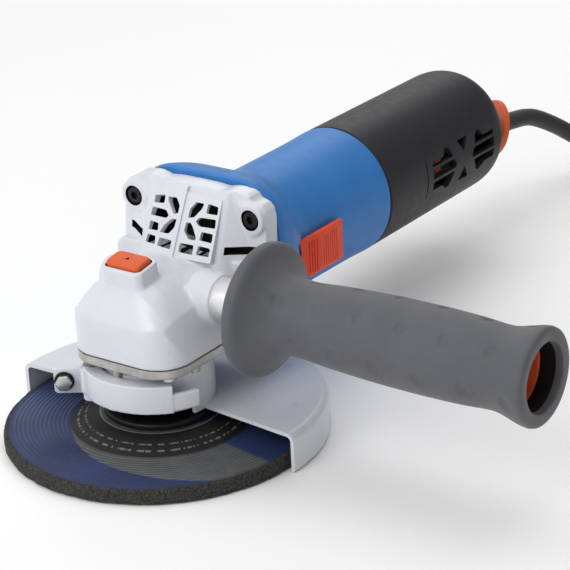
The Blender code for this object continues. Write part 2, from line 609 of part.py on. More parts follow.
def smooth_through(points, spacing):
    """Points along a Catmull-Rom curve through the given ones, about `spacing` apart."""
    ends = [2 * points[0] - points[1], *points, 2 * points[-1] - points[-2]]
    made = [points[0]]
    for i in range(1, len(ends) - 2):
        before, start, end, after = ends[i - 1:i + 3]
        steps = max(1, round((end - start).length / spacing))
        for k in range(1, steps + 1):
            t = k / steps
            bend = 2 * before - 5 * start + 4 * end - after
            sharp = 3 * start - before - 3 * end + after
            made.append(0.5 * (2 * start + (end - before) * t + bend * t * t + sharp * t ** 3))
    return made


def cord_tube(name, points, look):
    curve = bpy.data.curves.new(name, "CURVE")
    curve.dimensions = "3D"
    curve.bevel_depth = CORD_R * MM
    curve.bevel_resolution = 2
    curve.use_fill_caps = True
    spline = curve.splines.new("POLY")
    spline.points.add(len(points) - 1)
    for point, place in zip(spline.points, points):
        point.co = (*(place * MM), 1.0)
    curve.materials.append(look)
    obj = bpy.data.objects.new(name, curve)
    bpy.context.scene.collection.objects.link(obj)
    return obj


def cord_route():
    """From the sleeve's end, down in one easy curve to the surface, and up to the coil's side."""
    exit_point = outlet_frame() @ Vector((0, SLEEVE_LENGTH + GAP, 0))
    hang = [(0.0, 280.0, 45.3), (1.3, 295.3, 42.6), (4.9, 310.7, 35.1), (9.7, 326.0, 25.0), (14.6, 341.3, 14.8),
            (18.2, 356.7, 7.4)]
    landing = (COIL_X - COIL_TURN_R, COIL_Y - CLEAR_OF_COIL, CORD_R + 0.7)
    return [exit_point, *map(Vector, hang), Vector(landing)]


def tail_route():
    x = COIL_X + COIL_TURN_R
    steps = ((CLEAR_OF_COIL, 14.6), (48.0, 10.0), (62.0, 8.4), (74.0, PLUG_Z))
    return [Vector((x, COIL_Y - along, z)) for along, z in steps]


def cord_parts(looks):
    cord_tube("power_cord", smooth_through(cord_route(), 14.0), looks["cord"])
    inner, outer = COIL_MEAN_R - 3 * CORD_R, COIL_MEAN_R + 3 * CORD_R
    solid("cord_coil", ring(inner, outer, 0.0, 6 * CORD_R, "Z", (COIL_X, COIL_Y)), looks["cord"])
    cord_tube("cord_tail", smooth_through(tail_route(), 10.0), looks["cord"])
    x, start = COIL_X + COIL_TURN_R, COIL_Y - 74.3
    stations = ((0.0, 5.4, 5.4, 5.0), (12.0, 6.6, 6.0, 5.0), (24.0, 14.0, 7.4, 6.0), (34.0, 18.0, 7.9, 6.5),
                (46.0, 17.6, 7.9, 6.5))
    loops = []
    for along, half_x, half_z, corner in stations:
        outline = rounded_box(half_x, half_z, corner, 4, (x, PLUG_Z))
        loops.append([(u, start - along, v) for u, v in outline])
    plug = solid("plug", skin(loops), looks["cord"])
    end = start - 46.0
    pin = [(0, end + 4.0), (2.4, end + 4.0), (2.4, end - 17.5), (1.6, end - 19.0), (0, end - 19.0)]
    combine(plug, "UNION", *[turned(pin, 16, "Y", (x + side * 9.5, PLUG_Z)) for side in (-1, 1)])


def looks_table():
    return {
        "white": material("white_paint", (0.72, 0.74, 0.77), 0.3),
        "aluminium": material("cast_aluminium", (0.42, 0.41, 0.39), 0.45, 0.9),
        "blue": material("blue_plastic", (0.045, 0.19, 0.51), 0.42),
        "cover": material("charcoal_plastic", (0.04, 0.038, 0.04), 0.5),
        "rubber": material("grey_rubber", (0.11, 0.12, 0.13), 0.65),
        "orange": material("orange_plastic", (0.75, 0.13, 0.04), 0.45),
        "red": material("red_orange_plastic", (0.63, 0.065, 0.025), 0.45),
        "wheel": material("abrasive", (0.035, 0.045, 0.16), 0.8),
        "steel": material("bright_steel", (0.6, 0.6, 0.6), 0.3, 1.0),
        "black_steel": material("black_steel", (0.02, 0.02, 0.02), 0.35, 0.6),
        "black": material("black_plastic", (0.02, 0.02, 0.02), 0.5),
        "cord": material("cord_rubber", (0.025, 0.025, 0.027), 0.6),
        "laminations": material("laminations", (0.2, 0.2, 0.2), 0.5, 0.8),
        "copper": material("copper", (0.6, 0.25, 0.12), 0.35, 1.0),
        "brass": material("brass", (0.6, 0.45, 0.2), 0.35, 1.0),
        "carbon": material("carbon", (0.03, 0.03, 0.03), 0.7),
        "capacitor": material("capacitor_yellow", (0.6, 0.4, 0.05), 0.5),
    }


def main():
    clear_scene()
    looks = looks_table()
    spindle_axis = pivot_at("spindle_axis", 0, 0, 0)
    motor_axis = pivot_at("motor_axis", 0, 0, MOTOR_Z)
    guard_axis = pivot_at("guard_axis", 0, 0, GUARD_TOP_Z)
    gear_housing(looks["white"])
    bearing_flange(looks["aluminium"])
    flange_screws(looks["steel"])
    housing_screws(looks["black_steel"])
    spindle(looks["steel"], spindle_axis)
    bevel_gear(looks["steel"], spindle_axis)
    wheel_set(looks, spindle_axis)
    lock_parts(looks)
    bearings(looks["steel"])
    dust_seal(looks["black"])
    pinion(looks["steel"], motor_axis)
    armature(looks, motor_axis)
    stator(looks)
    brush_gear(looks)
    motor_housing(looks["blue"])
    rear_cover(looks)
    switch_parts(looks)
    guard(looks, guard_axis)
    clamp_parts(looks, guard_axis)
    clamp_lever(looks["white"], guard_axis)
    side_handle(looks)
    cord_fittings(looks)
    cord_parts(looks)
    bpy.context.view_layer.update()


main()
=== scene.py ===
"""Looks for a corded 125 mm angle grinder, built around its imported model.

The shapes below are in millimetres, in the model's own frame: the origin is on the spindle axis in
the plane of the wheel's lower face, +Z points up the spindle, +Y back along the motor and +X at the
side handle. Each shape is scaled to metres as its object is made.
"""

import math

import bmesh
import bpy
from mathutils import Matrix, Vector, noise


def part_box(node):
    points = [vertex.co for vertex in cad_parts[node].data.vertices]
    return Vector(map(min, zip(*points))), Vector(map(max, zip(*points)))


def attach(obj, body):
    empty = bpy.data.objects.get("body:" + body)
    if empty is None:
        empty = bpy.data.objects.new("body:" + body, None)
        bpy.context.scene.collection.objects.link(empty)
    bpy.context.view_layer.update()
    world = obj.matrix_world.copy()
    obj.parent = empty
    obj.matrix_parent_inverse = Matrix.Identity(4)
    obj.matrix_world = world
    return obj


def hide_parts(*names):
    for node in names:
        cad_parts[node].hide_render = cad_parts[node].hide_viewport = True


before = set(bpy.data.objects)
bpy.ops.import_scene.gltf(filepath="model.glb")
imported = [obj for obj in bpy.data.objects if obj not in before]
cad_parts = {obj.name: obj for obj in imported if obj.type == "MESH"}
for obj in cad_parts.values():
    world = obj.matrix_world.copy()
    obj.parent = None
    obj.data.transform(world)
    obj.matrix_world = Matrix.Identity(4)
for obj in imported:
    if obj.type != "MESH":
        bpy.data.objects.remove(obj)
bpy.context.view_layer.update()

MM = 0.001


def node_box(name):
    """Lowest and highest corner of a CAD node, in millimetres."""
    low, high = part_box(name)
    return low / MM, high / MM


def node_middle(name):
    """A CAD node's middle, in millimetres."""
    low, high = node_box(name)
    return tuple((a + b) / 2 for a, b in zip(low, high))


# Places taken from the frame.
WHEEL_R = node_box("grinding_wheel")[1].x
FACE_Y = node_box("gear_housing")[1].y
MOTOR_Z = node_middle("armature_core")[2]
COVER_LOW, COVER_HIGH = node_box("rear_cover")
SEAM_Y, COVER_END_Y = COVER_LOW.y, COVER_HIGH.y
GRIP_LOW, GRIP_HIGH = node_box("handle_grip")
HANDLE_FLANGE_X, HANDLE_END_X = GRIP_LOW.x, GRIP_HIGH.x
HANDLE_AXIS = node_middle("handle_grip")[1:]
HANDLE_Y, HANDLE_Z = HANDLE_AXIS
BUTTON_Y = node_middle("lock_button")[1]
GUARD_R = node_box("guard")[1].x
COIL_LOW, COIL_HIGH = node_box("cord_coil")
COIL_X, COIL_Y, _ = node_middle("cord_coil")
PLUG_X, _, PLUG_Z = node_middle("plug")

# Camera, as fitted to the photograph: degrees, and metres.
CAMERA_AZIMUTH, CAMERA_ELEVATION, CAMERA_ROLL = 36.18, 22.94, -2.62
CAMERA_PLACE = (0.4745, -0.5629, 0.3702)
CAMERA_SENSOR, CAMERA_LENS = 36.0, 131.05

# Light, in metres and watts. The sky is brightest at the front left.
SKY_BRIGHT, SKY_DIM, SKY_REACH = 0.92, 0.14, 1.4
LIGHTS = (("key", (-0.15, -1.2, 1.0), 0.9, 7.0), ("top", (0.1, 0.25, 1.5), 1.3, 7.5),
          ("back", (-0.6, 1.2, 0.9), 0.8, 3.0))
LIT_PLACE = (0.03, 0.08, 0.05)
FLOOR_HALF, FLOOR_TOP, FLOOR_WHITE = 4000.0, -0.05, 0.98

# Gear head.
NOSE_HALF, NOSE_FRONT_Y, NOSE_BACK_Y, NOSE_CORNER = 25.5, -25.5, 22.0, 13.0
PLATE_Z0, PLATE_Z1, HOUSING_Z0 = 35.6, 39.0, 39.3
SCREW_X, SCREW_RISE = 28.4, 25.6
GRILLE_SLOPE = 0.503
LEFT_FACE = ((0, 15.0, 72), (1, -0.19, 0), (0, GRILLE_SLOPE, 1))
RIGHT_FACE = ((0, 13.5, 72), (1, 0.1, 0), (0, GRILLE_SLOPE, 1))
CAVITY_Z0, CAVITY_Z1, CAVITY_BACK_Y = 69.6, 90.8, 33.0
KEY_LEAN_DEG, KEY_PIVOT_Z = 9.0, 75.0

# Guard, and the clamp on its collar.
GUARD_SHEET, GUARD_TOP_Z, GUARD_BEND = 1.6, 16.0, 3.4
COLLAR_R = 21.9
PIVOT_R, PIVOT_DEG = 26.5, -132.0
EAR_DEG = -147.0
BOLT_R, BOLT_Z = 37.2, 22.8

# Cord.
CORD_R = 4.25
OUTLET = Vector((0.0, 218.5, 50.9))
OUTLET_DROP_DEG = 5.2
SLEEVE_LENGTH = 46.5
RING_CENTRE = Vector((0.0, 261.5, 46.9))
RING_YAW_DEG, RING_DROP_DEG = 34.0, 14.0
COIL_TURN_R = (COIL_HIGH.x - COIL_LOW.x) / 2 - CORD_R
CLEAR_OF_COIL = 33.0


# ---- outlines and solids


def polar(radius, degrees):
    angle = math.radians(degrees)
    return radius * math.cos(angle), radius * math.sin(angle)


def arc(radius, start, end, steps, centre=(0.0, 0.0)):
    """Points along an arc, both ends included."""
    points = []
    for i in range(steps + 1):
        u, v = polar(radius, start + (end - start) * i / steps)
        points.append((centre[0] + u, centre[1] + v))
    return points


def circle(radius, steps=48, centre=(0.0, 0.0)):
    return arc(radius, 0, 360, steps, centre)[:-1]


def rounded_box(half_u, half_v, radius, steps=8, centre=(0.0, 0.0)):
    points = []
    corners = ((1, 1, 0), (-1, 1, 90), (-1, -1, 180), (1, -1, 270))
    for side_u, side_v, start in corners:
        middle = (centre[0] + side_u * (half_u - radius), centre[1] + side_v * (half_v - radius))
        points += arc(radius, start, start + 90, steps, middle)
    return points


def softened(outline, radius, steps=3):
    """A closed outline with its corners rounded, each within its shorter side. Corners on the axis stay."""
    points = [Vector(point) for point in outline]
    made = []
    for i, corner in enumerate(points):
        before, after = points[i - 1], points[(i + 1) % len(points)]
        if corner.x == 0:
            made.append(tuple(corner))
            continue
        reach = min(radius, (before - corner).length * 0.45, (after - corner).length * 0.45)
        start = corner + (before - corner).normalized() * reach
        end = corner + (after - corner).normalized() * reach
        for k in range(steps + 1):
            t = k / steps
            made.append(tuple(start * (1 - t) ** 2 + corner * 2 * t * (1 - t) + end * t * t))
    return made


def smooth_through(points, spacing):
    """Points along a Catmull-Rom curve through the given ones, about `spacing` apart."""
    points = [Vector(point) for point in points]
    ends = [2 * points[0] - points[1], *points, 2 * points[-1] - points[-2]]
    made = [points[0]]
    for i in range(1, len(ends) - 2):
        before, start, end, after = ends[i - 1:i + 3]
        steps = max(1, round((end - start).length / spacing))
        for k in range(1, steps + 1):
            t = k / steps
            bend = 2 * before - 5 * start + 4 * end - after
            sharp = 3 * start - before - 3 * end + after
            made.append(0.5 * (2 * start + (end - before) * t + bend * t * t + sharp * t ** 3))
    return made


def on_axis(axis, u, v, along):
    """A point given by its two coordinates across an axis and its place along it."""
    return {"X": (along, u, v), "Y": (u, along, v), "Z": (u, v, along)}[axis]


def skin(loops):
    """A solid through loops of equal count, capped at both ends."""
    made = bmesh.new()
    rings = [[made.verts.new(point) for point in loop] for loop in loops]
    count = len(rings[0])
    for near, far in zip(rings, rings[1:]):
        for j in range(count):
            made.faces.new((near[j], near[(j + 1) % count], far[(j + 1) % count], far[j]))
    made.faces.new(rings[0])
    made.faces.new(rings[-1])
    bmesh.ops.recalc_face_normals(made, faces=made.faces)
    return made


def lofted(axis, rows):
    """A solid through rows of (place along the axis, outline)."""
    return skin([[on_axis(axis, u, v, along) for u, v in outline] for along, outline in rows])


def prism(outline, low, high, axis="Z", edge=0.0, steps=3):
    """An outline carried along an axis. With an edge, its ends are rounded by that much."""
    middle = Vector((sum(u for u, _ in outline), sum(v for _, v in outline))) / len(outline)
    reach = max((Vector(point) - middle).length for point in outline)
    levels = [(0.0, low), (0.0, high)]
    if edge:
        turn = [math.radians(90 * k / steps) for k in range(steps + 1)]
        levels = [(edge * (1 - math.sin(a)), low + edge * (1 - math.cos(a))) for a in turn]
        levels += [(edge * (1 - math.sin(a)), high - edge * (1 - math.cos(a))) for a in reversed(turn)]
    x, y = middle
    rows = []
    for inset, along in levels:
        share = 1 - inset / reach
        rows.append((along, [(x + (u - x) * share, y + (v - y) * share) for u, v in outline]))
    return lofted(axis, rows)


def box(low, high):
    (x0, y0, z0), (x1, y1, z1) = low, high
    return prism([(x0, y0), (x1, y0), (x1, y1), (x0, y1)], z0, z1)


def turned(profile, steps=96, axis="Z", centre=(0.0, 0.0)):
    """A profile of (radius, place along the axis) turned about the axis. Radius 0 closes it there."""
    made = bmesh.new()
    rings = []
    for radius, along in profile:
        points = circle(radius, steps, centre) if radius else [centre]
        rings.append([made.verts.new(on_axis(axis, u, v, along)) for u, v in points])
    for near, far in zip(rings, rings[1:] + rings[:1]):
        if len(near) == 1 and len(far) == 1:
            continue
        for j in range(steps):
            corners = [near[j % len(near)], near[(j + 1) % len(near)]]
            corners += [far[(j + 1) % len(far)], far[j % len(far)]]
            made.faces.new(list(dict.fromkeys(corners)))
    bmesh.ops.recalc_face_normals(made, faces=made.faces)
    return made


def cylinder(radius, low, high, axis="Z", centre=(0.0, 0.0), steps=40):
    return prism(circle(radius, steps, centre), low, high, axis)


def ring(inner, outer, low, high, axis="Z", centre=(0.0, 0.0), steps=96, edge=0.4):
    profile = softened([(inner, low), (outer, low), (outer, high), (inner, high)], edge)
    return turned(profile, steps, axis, centre)


def slab(outline, plane, back, front):
    """An outline drawn on a slanting plane, from `back` behind it to `front` before it."""
    origin, row, column = (Vector(v) for v in plane)
    ahead = row.cross(column).normalized()
    drawn = [origin + row * u + column * v for u, v in outline]
    return skin([[point + ahead * depth for point in drawn] for depth in (back, front)])


def rotation(degrees, axis):
    return Matrix.Rotation(math.radians(degrees), 4, axis)


def both_sides(half):
    """A row of points and its mirror image in X, as one loop."""
    return [(-x, y, z) for x, y, z in reversed(half)] + half


def moved(shape, matrix):
    bmesh.ops.transform(shape, matrix=matrix, verts=shape.verts)
    return shape


def together(*shapes):
    """Separate shapes in one mesh, for use as one cutter."""
    made = bmesh.new()
    for shape in shapes:
        part = bpy.data.meshes.new("part")
        shape.to_mesh(part)
        shape.free()
        made.from_mesh(part)
        bpy.data.meshes.remove(part)
    return made


# ---- objects


def placed(name, data):
    obj = bpy.data.objects.new(name, data)
    bpy.context.scene.collection.objects.link(obj)
    return obj


def mesh_object(name, shape, look=None):
    """An object from a shape in millimetres, in one of the LOOKS."""
    bmesh.ops.scale(shape, vec=(MM, MM, MM), verts=shape.verts)
    mesh = bpy.data.meshes.new(name)
    shape.to_mesh(mesh)
    shape.free()
    if look:
        mesh.materials.append(LOOKS[look])
    return placed(name, mesh)


def settle(obj):
    """Replaces the object's mesh by what its modifiers make of it."""
    graph = bpy.context.evaluated_depsgraph_get()
    made = bpy.data.meshes.new_from_object(obj.evaluated_get(graph), depsgraph=graph)
    obj.modifiers.clear()
    obj.data = made


def combine(obj, operation, shapes, look):
    """Booleans, applied one by one. With a look, the faces that a shape leaves take it."""
    for shape in shapes:
        tool = mesh_object("tool", shape, look)
        modifier = obj.modifiers.new("combine", "BOOLEAN")
        modifier.operation = operation
        modifier.solver = "EXACT"
        modifier.object = tool
        modifier.material_mode = "TRANSFER" if look else "INDEX"
        settle(obj)
        bpy.data.objects.remove(tool)


def cut(obj, *shapes, look=None):
    combine(obj, "DIFFERENCE", shapes, look)


def join(obj, *shapes, look=None):
    combine(obj, "UNION", shapes, look)


def trim(obj, shape):
    combine(obj, "INTERSECT", [shape], None)


def melt(obj, voxel, rounds):
    """Remeshes an object finely and evenly, and rounds its edges."""
    remesh = obj.modifiers.new("remesh", "REMESH")
    remesh.mode = "VOXEL"
    remesh.voxel_size = voxel * MM
    smooth = obj.modifiers.new("smooth", "SMOOTH")
    smooth.factor = 0.5
    smooth.iterations = rounds
    settle(obj)


def finished(obj, body, slot, *nodes, sharp=32):
    """Shades an object, ties it to its body and hides the CAD nodes it stands for. Its slot is not used."""
    obj.data.shade_smooth()
    obj.data.set_sharp_from_angle(angle=math.radians(sharp))
    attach(obj, body)
    if nodes:
        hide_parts(*nodes)
    return obj


def piece(name, shape, body, slot, *nodes, look=None, sharp=32):
    """A finished object straight from its shape, in its slot's own look unless another is named."""
    finished(mesh_object(name, shape, look or slot), body, slot, *nodes, sharp=sharp)


# ---- materials


def add(tree, kind, inputs=None, **settings):
    """A shader node, with its settings, and each input linked from a socket or set to a value."""
    node = tree.nodes.new("ShaderNode" + kind)
    for name, value in settings.items():
        setattr(node, name, value)
    for key, value in (inputs or {}).items():
        if isinstance(value, bpy.types.NodeSocket):
            tree.links.new(value, node.inputs[key])
        else:
            node.inputs[key].default_value = value
    return node


def maths(tree, operation, first, second=0.0):
    return add(tree, "Math", {0: first, 1: second}, operation=operation).outputs[0]


def product(tree, first, second):
    return maths(tree, "MULTIPLY", first, second)


def spread_over(tree, value, start, end, low=0.0, high=1.0):
    """Maps start..end to low..high, and holds still outside."""
    inputs = {"Value": value, "From Min": start, "From Max": end, "To Min": low, "To Max": high}
    return add(tree, "MapRange", inputs).outputs[0]


def blank(name, roughness, metallic=0.0, **constants):
    """A material with its constants on the shader's own sockets, and the object coordinates."""
    made = bpy.data.materials.new(name)
    made.use_nodes = True
    tree = made.node_tree
    shader = tree.nodes["Principled BSDF"]
    shader.inputs["Roughness"].default_value = roughness
    shader.inputs["Metallic"].default_value = metallic
    for key, value in constants.items():
        shader.inputs[key.replace("_", " ")].default_value = value
    return made, tree, shader, add(tree, "TexCoord").outputs["Object"]


def speckle(tree, where, scale, detail=3.0, roughness=0.55):
    inputs = {"Vector": where, "Scale": scale, "Detail": detail, "Roughness": roughness}
    return add(tree, "TexNoise", inputs).outputs["Fac"]


def ramp(tree, factor, *stops):
    """A colour ramp through (place, colour) stops."""
    node = add(tree, "ValToRGB", {"Fac": factor})
    places = node.color_ramp.elements
    while len(places) < len(stops):
        places.new(0.5)
    for element, (place, colour) in zip(places, stops):
        element.position = place
        element.color = (*colour, 1.0)
    return node.outputs["Color"]


def shade(colour, share):
    return tuple(channel * share for channel in colour)


def vary(tree, shader, where, colour, spread, scale):
    """Mottles the colour a little about its mean."""
    fac = speckle(tree, where, scale)
    tree.links.new(ramp(tree, fac, (0.3, shade(colour, 1 - spread)), (0.7, shade(colour, 1 + spread))),
                   shader.inputs["Base Color"])


def uneven(tree, shader, where, low, high, scale):
    """Lets the roughness wander between two values."""
    fac = speckle(tree, where, scale)
    tree.links.new(spread_over(tree, fac, 0.3, 0.7, low, high), shader.inputs["Roughness"])


def emboss(tree, shader, height, depth, strength=1.0):
    """Bump from a height socket, its depth in millimetres. It adds to any bump already there."""
    inputs = {"Height": height, "Distance": depth * MM, "Strength": strength}
    linked = shader.inputs["Normal"].links
    if linked:
        inputs["Normal"] = linked[0].from_socket
    tree.links.new(add(tree, "Bump", inputs).outputs["Normal"], shader.inputs["Normal"])


def painted(name, colour):
    """Powder-coated metal: a slight orange peel under an even gloss."""
    made, tree, shader, where = blank(name, 0.3, Coat_Weight=0.25, Coat_Roughness=0.18)
    vary(tree, shader, where, colour, 0.025, 60.0)
    uneven(tree, shader, where, 0.27, 0.36, 140.0)
    emboss(tree, shader, speckle(tree, where, 900.0, 1.0), 0.05, 0.35)
    return made


def moulded(name, colour, roughness, depth=0.05):
    """Moulded plastic with the fine, even texture of an eroded mould."""
    made, tree, shader, where = blank(name, roughness, Specular_IOR_Level=0.22)
    vary(tree, shader, where, colour, 0.05, 90.0)
    uneven(tree, shader, where, roughness - 0.04, roughness + 0.07, 220.0)
    emboss(tree, shader, speckle(tree, where, 1400.0, 2.0), depth, 0.6)
    return made


def soft_rubber(name, colour, roughness):
    """Soft-touch rubber: a matt, faintly dusty face with a very fine pebble."""
    made, tree, shader, where = blank(name, roughness, Sheen_Weight=0.12, Sheen_Roughness=0.5,
                                      Specular_IOR_Level=0.35)
    vary(tree, shader, where, colour, 0.07, 70.0)
    uneven(tree, shader, where, roughness - 0.06, roughness + 0.08, 160.0)
    cells = add(tree, "TexVoronoi", {"Vector": where, "Scale": 1500.0}).outputs["Distance"]
    emboss(tree, shader, cells, 0.06, 0.5)
    return made


def machined(name, colour, roughness, axis, lines=2600.0):
    """Turned metal: fine rings about an axis, and a little staining."""
    made, tree, shader, where = blank(name, roughness, 1.0)
    vary(tree, shader, where, colour, 0.1, 120.0)
    uneven(tree, shader, where, roughness - 0.06, roughness + 0.1, 300.0)
    stretch = {"X": (1.0, 0.05, 0.05), "Y": (0.05, 1.0, 0.05), "Z": (0.05, 0.05, 1.0)}[axis]
    scaled = add(tree, "Mapping", {"Vector": where, "Scale": stretch}).outputs["Vector"]
    emboss(tree, shader, speckle(tree, scaled, lines, 2.0), 0.02, 0.5)
    return made


def cast(name, colour, roughness):
    """Raw die-cast metal with a faintly pitted, streaked face."""
    made, tree, shader, where = blank(name, roughness, 0.9)
    vary(tree, shader, where, colour, 0.14, 260.0)
    uneven(tree, shader, where, roughness - 0.08, roughness + 0.1, 420.0)
    emboss(tree, shader, speckle(tree, where, 1300.0, 4.0), 0.07, 0.6)
    return made


def from_axis(tree, parts):
    """Distance from the Z axis, in millimetres."""
    squares = [product(tree, parts[key], parts[key]) for key in "XY"]
    return product(tree, maths(tree, "SQRT", maths(tree, "ADD", *squares)), 1 / MM)


def between(tree, value, low, high, edge=0.3):
    """1 inside a band of a value and 0 outside it, over a short edge."""
    up = spread_over(tree, value, low - edge, low + edge)
    down = spread_over(tree, value, high - edge, high + edge)
    return product(tree, up, maths(tree, "SUBTRACT", 1.0, down))


def blended(tree, factor, below, above):
    """Mixes two colours, each a socket or three numbers."""
    mix = add(tree, "Mix", {"Factor": factor}, data_type="RGBA")
    for key, value in (("A", below), ("B", above)):
        socket = [s for s in mix.inputs if s.name == key and s.type == "RGBA"][0]
        if isinstance(value, bpy.types.NodeSocket):
            tree.links.new(value, socket)
        else:
            socket.default_value = (*value, 1.0)
    return [s for s in mix.outputs if s.type == "RGBA"][0]


def grey_crescent(tree, radius, angle):
    """1 inside the grey crescent, which widens anticlockwise from the left to the right of the wheel."""
    start, widest, end = -168.0, -31.0, -10.0
    narrow_r, widens_by, power = 34.4, 26.4, 2.2
    share = maths(tree, "POWER", spread_over(tree, angle, start, widest), power)
    border = maths(tree, "ADD", product(tree, share, widens_by), narrow_r)
    inside = between(tree, maths(tree, "SUBTRACT", border, radius), 0.0, 80.0)
    return product(tree, inside, between(tree, angle, start, end, 1.0))


def crest_highlights(tree, rings, ridged, angle, crescent):
    """Where the moulded rings' crests are painted lighter, as a painted highlight: all over the crescent, and
    on the blue towards the left.
    """
    crests = spread_over(tree, rings, 0.1, 1.0, 0.0, 0.3)
    away_left = maths(tree, "SUBTRACT", 180.0, maths(tree, "ABSOLUTE", angle))
    lit_left = spread_over(tree, away_left, 12.0, 60.0, 0.9, 0.08)
    where = maths(tree, "MAXIMUM", crescent, lit_left)
    return product(tree, product(tree, crests, ridged), where)


def label_lines(tree, radius, angle):
    """Two dashed rings on the black centre, in place of print."""
    dashes = speckle(tree, add(tree, "CombineXYZ", {0: angle, 1: 0.0, 2: 0.0}).outputs[0], 0.22, 1.0)
    outer, inner = (between(tree, radius, low, high, 0.15) for low, high in ((32.6, 33.4), (29.7, 30.3)))
    return product(tree, maths(tree, "ADD", outer, inner), between(tree, dashes, 0.5, 2.0, 0.02))


def printed_wheel():
    """A pressed abrasive wheel: a printed blue face with a grey crescent and black centre, on coarse grit."""
    ring_pitch, ridged_from, ridged_to, label_from, label_to, bare_from = 1.7, 37.0, 58.5, 24.4, 36.0, 60.3
    printed_face_z = 5.6
    made, tree, shader, where = blank("wheel_face", 0.6, Specular_IOR_Level=0.3)
    parts = add(tree, "SeparateXYZ", {"Vector": where}).outputs
    radius = from_axis(tree, parts)
    angle = maths(tree, "DEGREES", maths(tree, "ARCTAN2", parts["Y"], parts["X"]))
    grit = speckle(tree, where, 1100.0, 4.0, 0.7)
    mottle, fine_mottle = speckle(tree, where, 40.0), speckle(tree, where, 160.0)
    blue = ramp(tree, mottle, (0.35, (0.014, 0.026, 0.085)), (0.65, (0.026, 0.044, 0.128)))
    grey = ramp(tree, fine_mottle, (0.35, (0.068, 0.07, 0.07)), (0.65, (0.092, 0.094, 0.093)))
    crescent = grey_crescent(tree, radius, angle)
    rings = maths(tree, "SINE", product(tree, radius, 2 * math.pi / ring_pitch))
    ridged = between(tree, radius, ridged_from, ridged_to)
    face = blended(tree, crescent, blue, grey)
    # The rings' crests take a lighter colour here: a painted highlight, strongest over the crescent and on
    # the blue towards the left.
    face = blended(tree, crest_highlights(tree, rings, ridged, angle, crescent), face, (0.30, 0.33, 0.40))
    face = blended(tree, between(tree, radius, label_from, label_to), face, (0.016, 0.015, 0.016))
    dashed = product(tree, label_lines(tree, radius, angle), 0.35)
    face = blended(tree, dashed, face, (0.5, 0.5, 0.5))
    inner_line = between(tree, radius, label_from - 0.5, label_from - 0.1, 0.12)
    face = blended(tree, inner_line, face, (0.3, 0.3, 0.3))
    dark = ramp(tree, grit, (0.35, (0.010, 0.010, 0.009)), (0.62, (0.075, 0.072, 0.062)))
    below_face = between(tree, product(tree, parts["Z"], 1 / MM), -5.0, printed_face_z, 0.2)
    bare = maths(tree, "MAXIMUM", between(tree, radius, bare_from, 80.0, 0.9), below_face)
    tree.links.new(blended(tree, bare, face, dark), shader.inputs["Base Color"])
    tree.links.new(spread_over(tree, bare, 0.0, 1.0, 0.5, 0.92), shader.inputs["Roughness"])
    emboss(tree, shader, product(tree, rings, ridged), 0.12, 0.5)
    emboss(tree, shader, product(tree, grit, maths(tree, "ADD", bare, 0.12)), 0.9, 0.9)
    return made


def switch_case():
    """The black case of the switch with its orange terminal blocks."""
    made, tree, shader, where = blank("switch_case", 0.45)
    parts = add(tree, "SeparateXYZ", {"Vector": where}).outputs
    along = product(tree, parts["Y"], 1 / MM)
    high = product(tree, parts["Z"], 1 / MM)
    blocks = between(tree, maths(tree, "PINGPONG", along, 7.0), 4.8, 8.0, 0.1)
    orange = product(tree, blocks, between(tree, high, 56.0, 62.0, 0.1))
    black = ramp(tree, speckle(tree, where, 90.0), (0.3, (0.010, 0.010, 0.011)), (0.7, (0.02, 0.02, 0.022)))
    tree.links.new(blended(tree, orange, black, (0.5, 0.07, 0.02)), shader.inputs["Base Color"])
    emboss(tree, shader, speckle(tree, where, 1200.0, 2.0), 0.05, 0.6)
    return made


def make_looks():
    """Every material, by name: how it is made, its colour, its roughness and what else it takes."""
    recipes = {
        "white_paint": (painted, (0.68, 0.705, 0.75)),
        "cast_aluminium": (cast, (0.47, 0.46, 0.44), 0.42),
        "blue_plastic": (moulded, (0.042, 0.198, 0.527), 0.4),
        "charcoal_plastic": (moulded, (0.028, 0.027, 0.031), 0.44, 0.08),
        "grey_rubber": (soft_rubber, (0.098, 0.1, 0.109), 0.6),
        "orange_plastic": (moulded, (0.7, 0.125, 0.038), 0.42),
        "red_orange_plastic": (moulded, (0.82, 0.078, 0.03), 0.42),
        "bright_steel": (machined, (0.56, 0.56, 0.57), 0.3, "Z"),
        "black_steel": (cast, (0.03, 0.03, 0.032), 0.4),
        "black_plastic": (moulded, (0.018, 0.018, 0.019), 0.5),
        "cord_rubber": (soft_rubber, (0.022, 0.022, 0.024), 0.5),
        "laminations": (machined, (0.2, 0.2, 0.21), 0.45, "Y", 4000.0),
        "copper": (machined, (0.6, 0.26, 0.13), 0.35, "Y"),
        "brass": (machined, (0.62, 0.46, 0.2), 0.35, "Z"),
        "carbon": (cast, (0.03, 0.03, 0.03), 0.6),
        "capacitor_yellow": (moulded, (0.6, 0.4, 0.05), 0.4),
        "handle_steel": (machined, (0.8, 0.8, 0.81), 0.38, "X"),
        # Near black: painted shade on the walls of holes, recesses and the grille's cavity, and the button's
        # dark arrow mark.
        "dark_inside": (moulded, (0.006, 0.006, 0.007), 0.7),
    }
    looks = {name: make(name, *how) for name, (make, *how) in recipes.items()}
    return looks | {"abrasive": printed_wheel(), "switch_case": switch_case()}


LOOKS = make_looks()


# ---- camera, light and floor


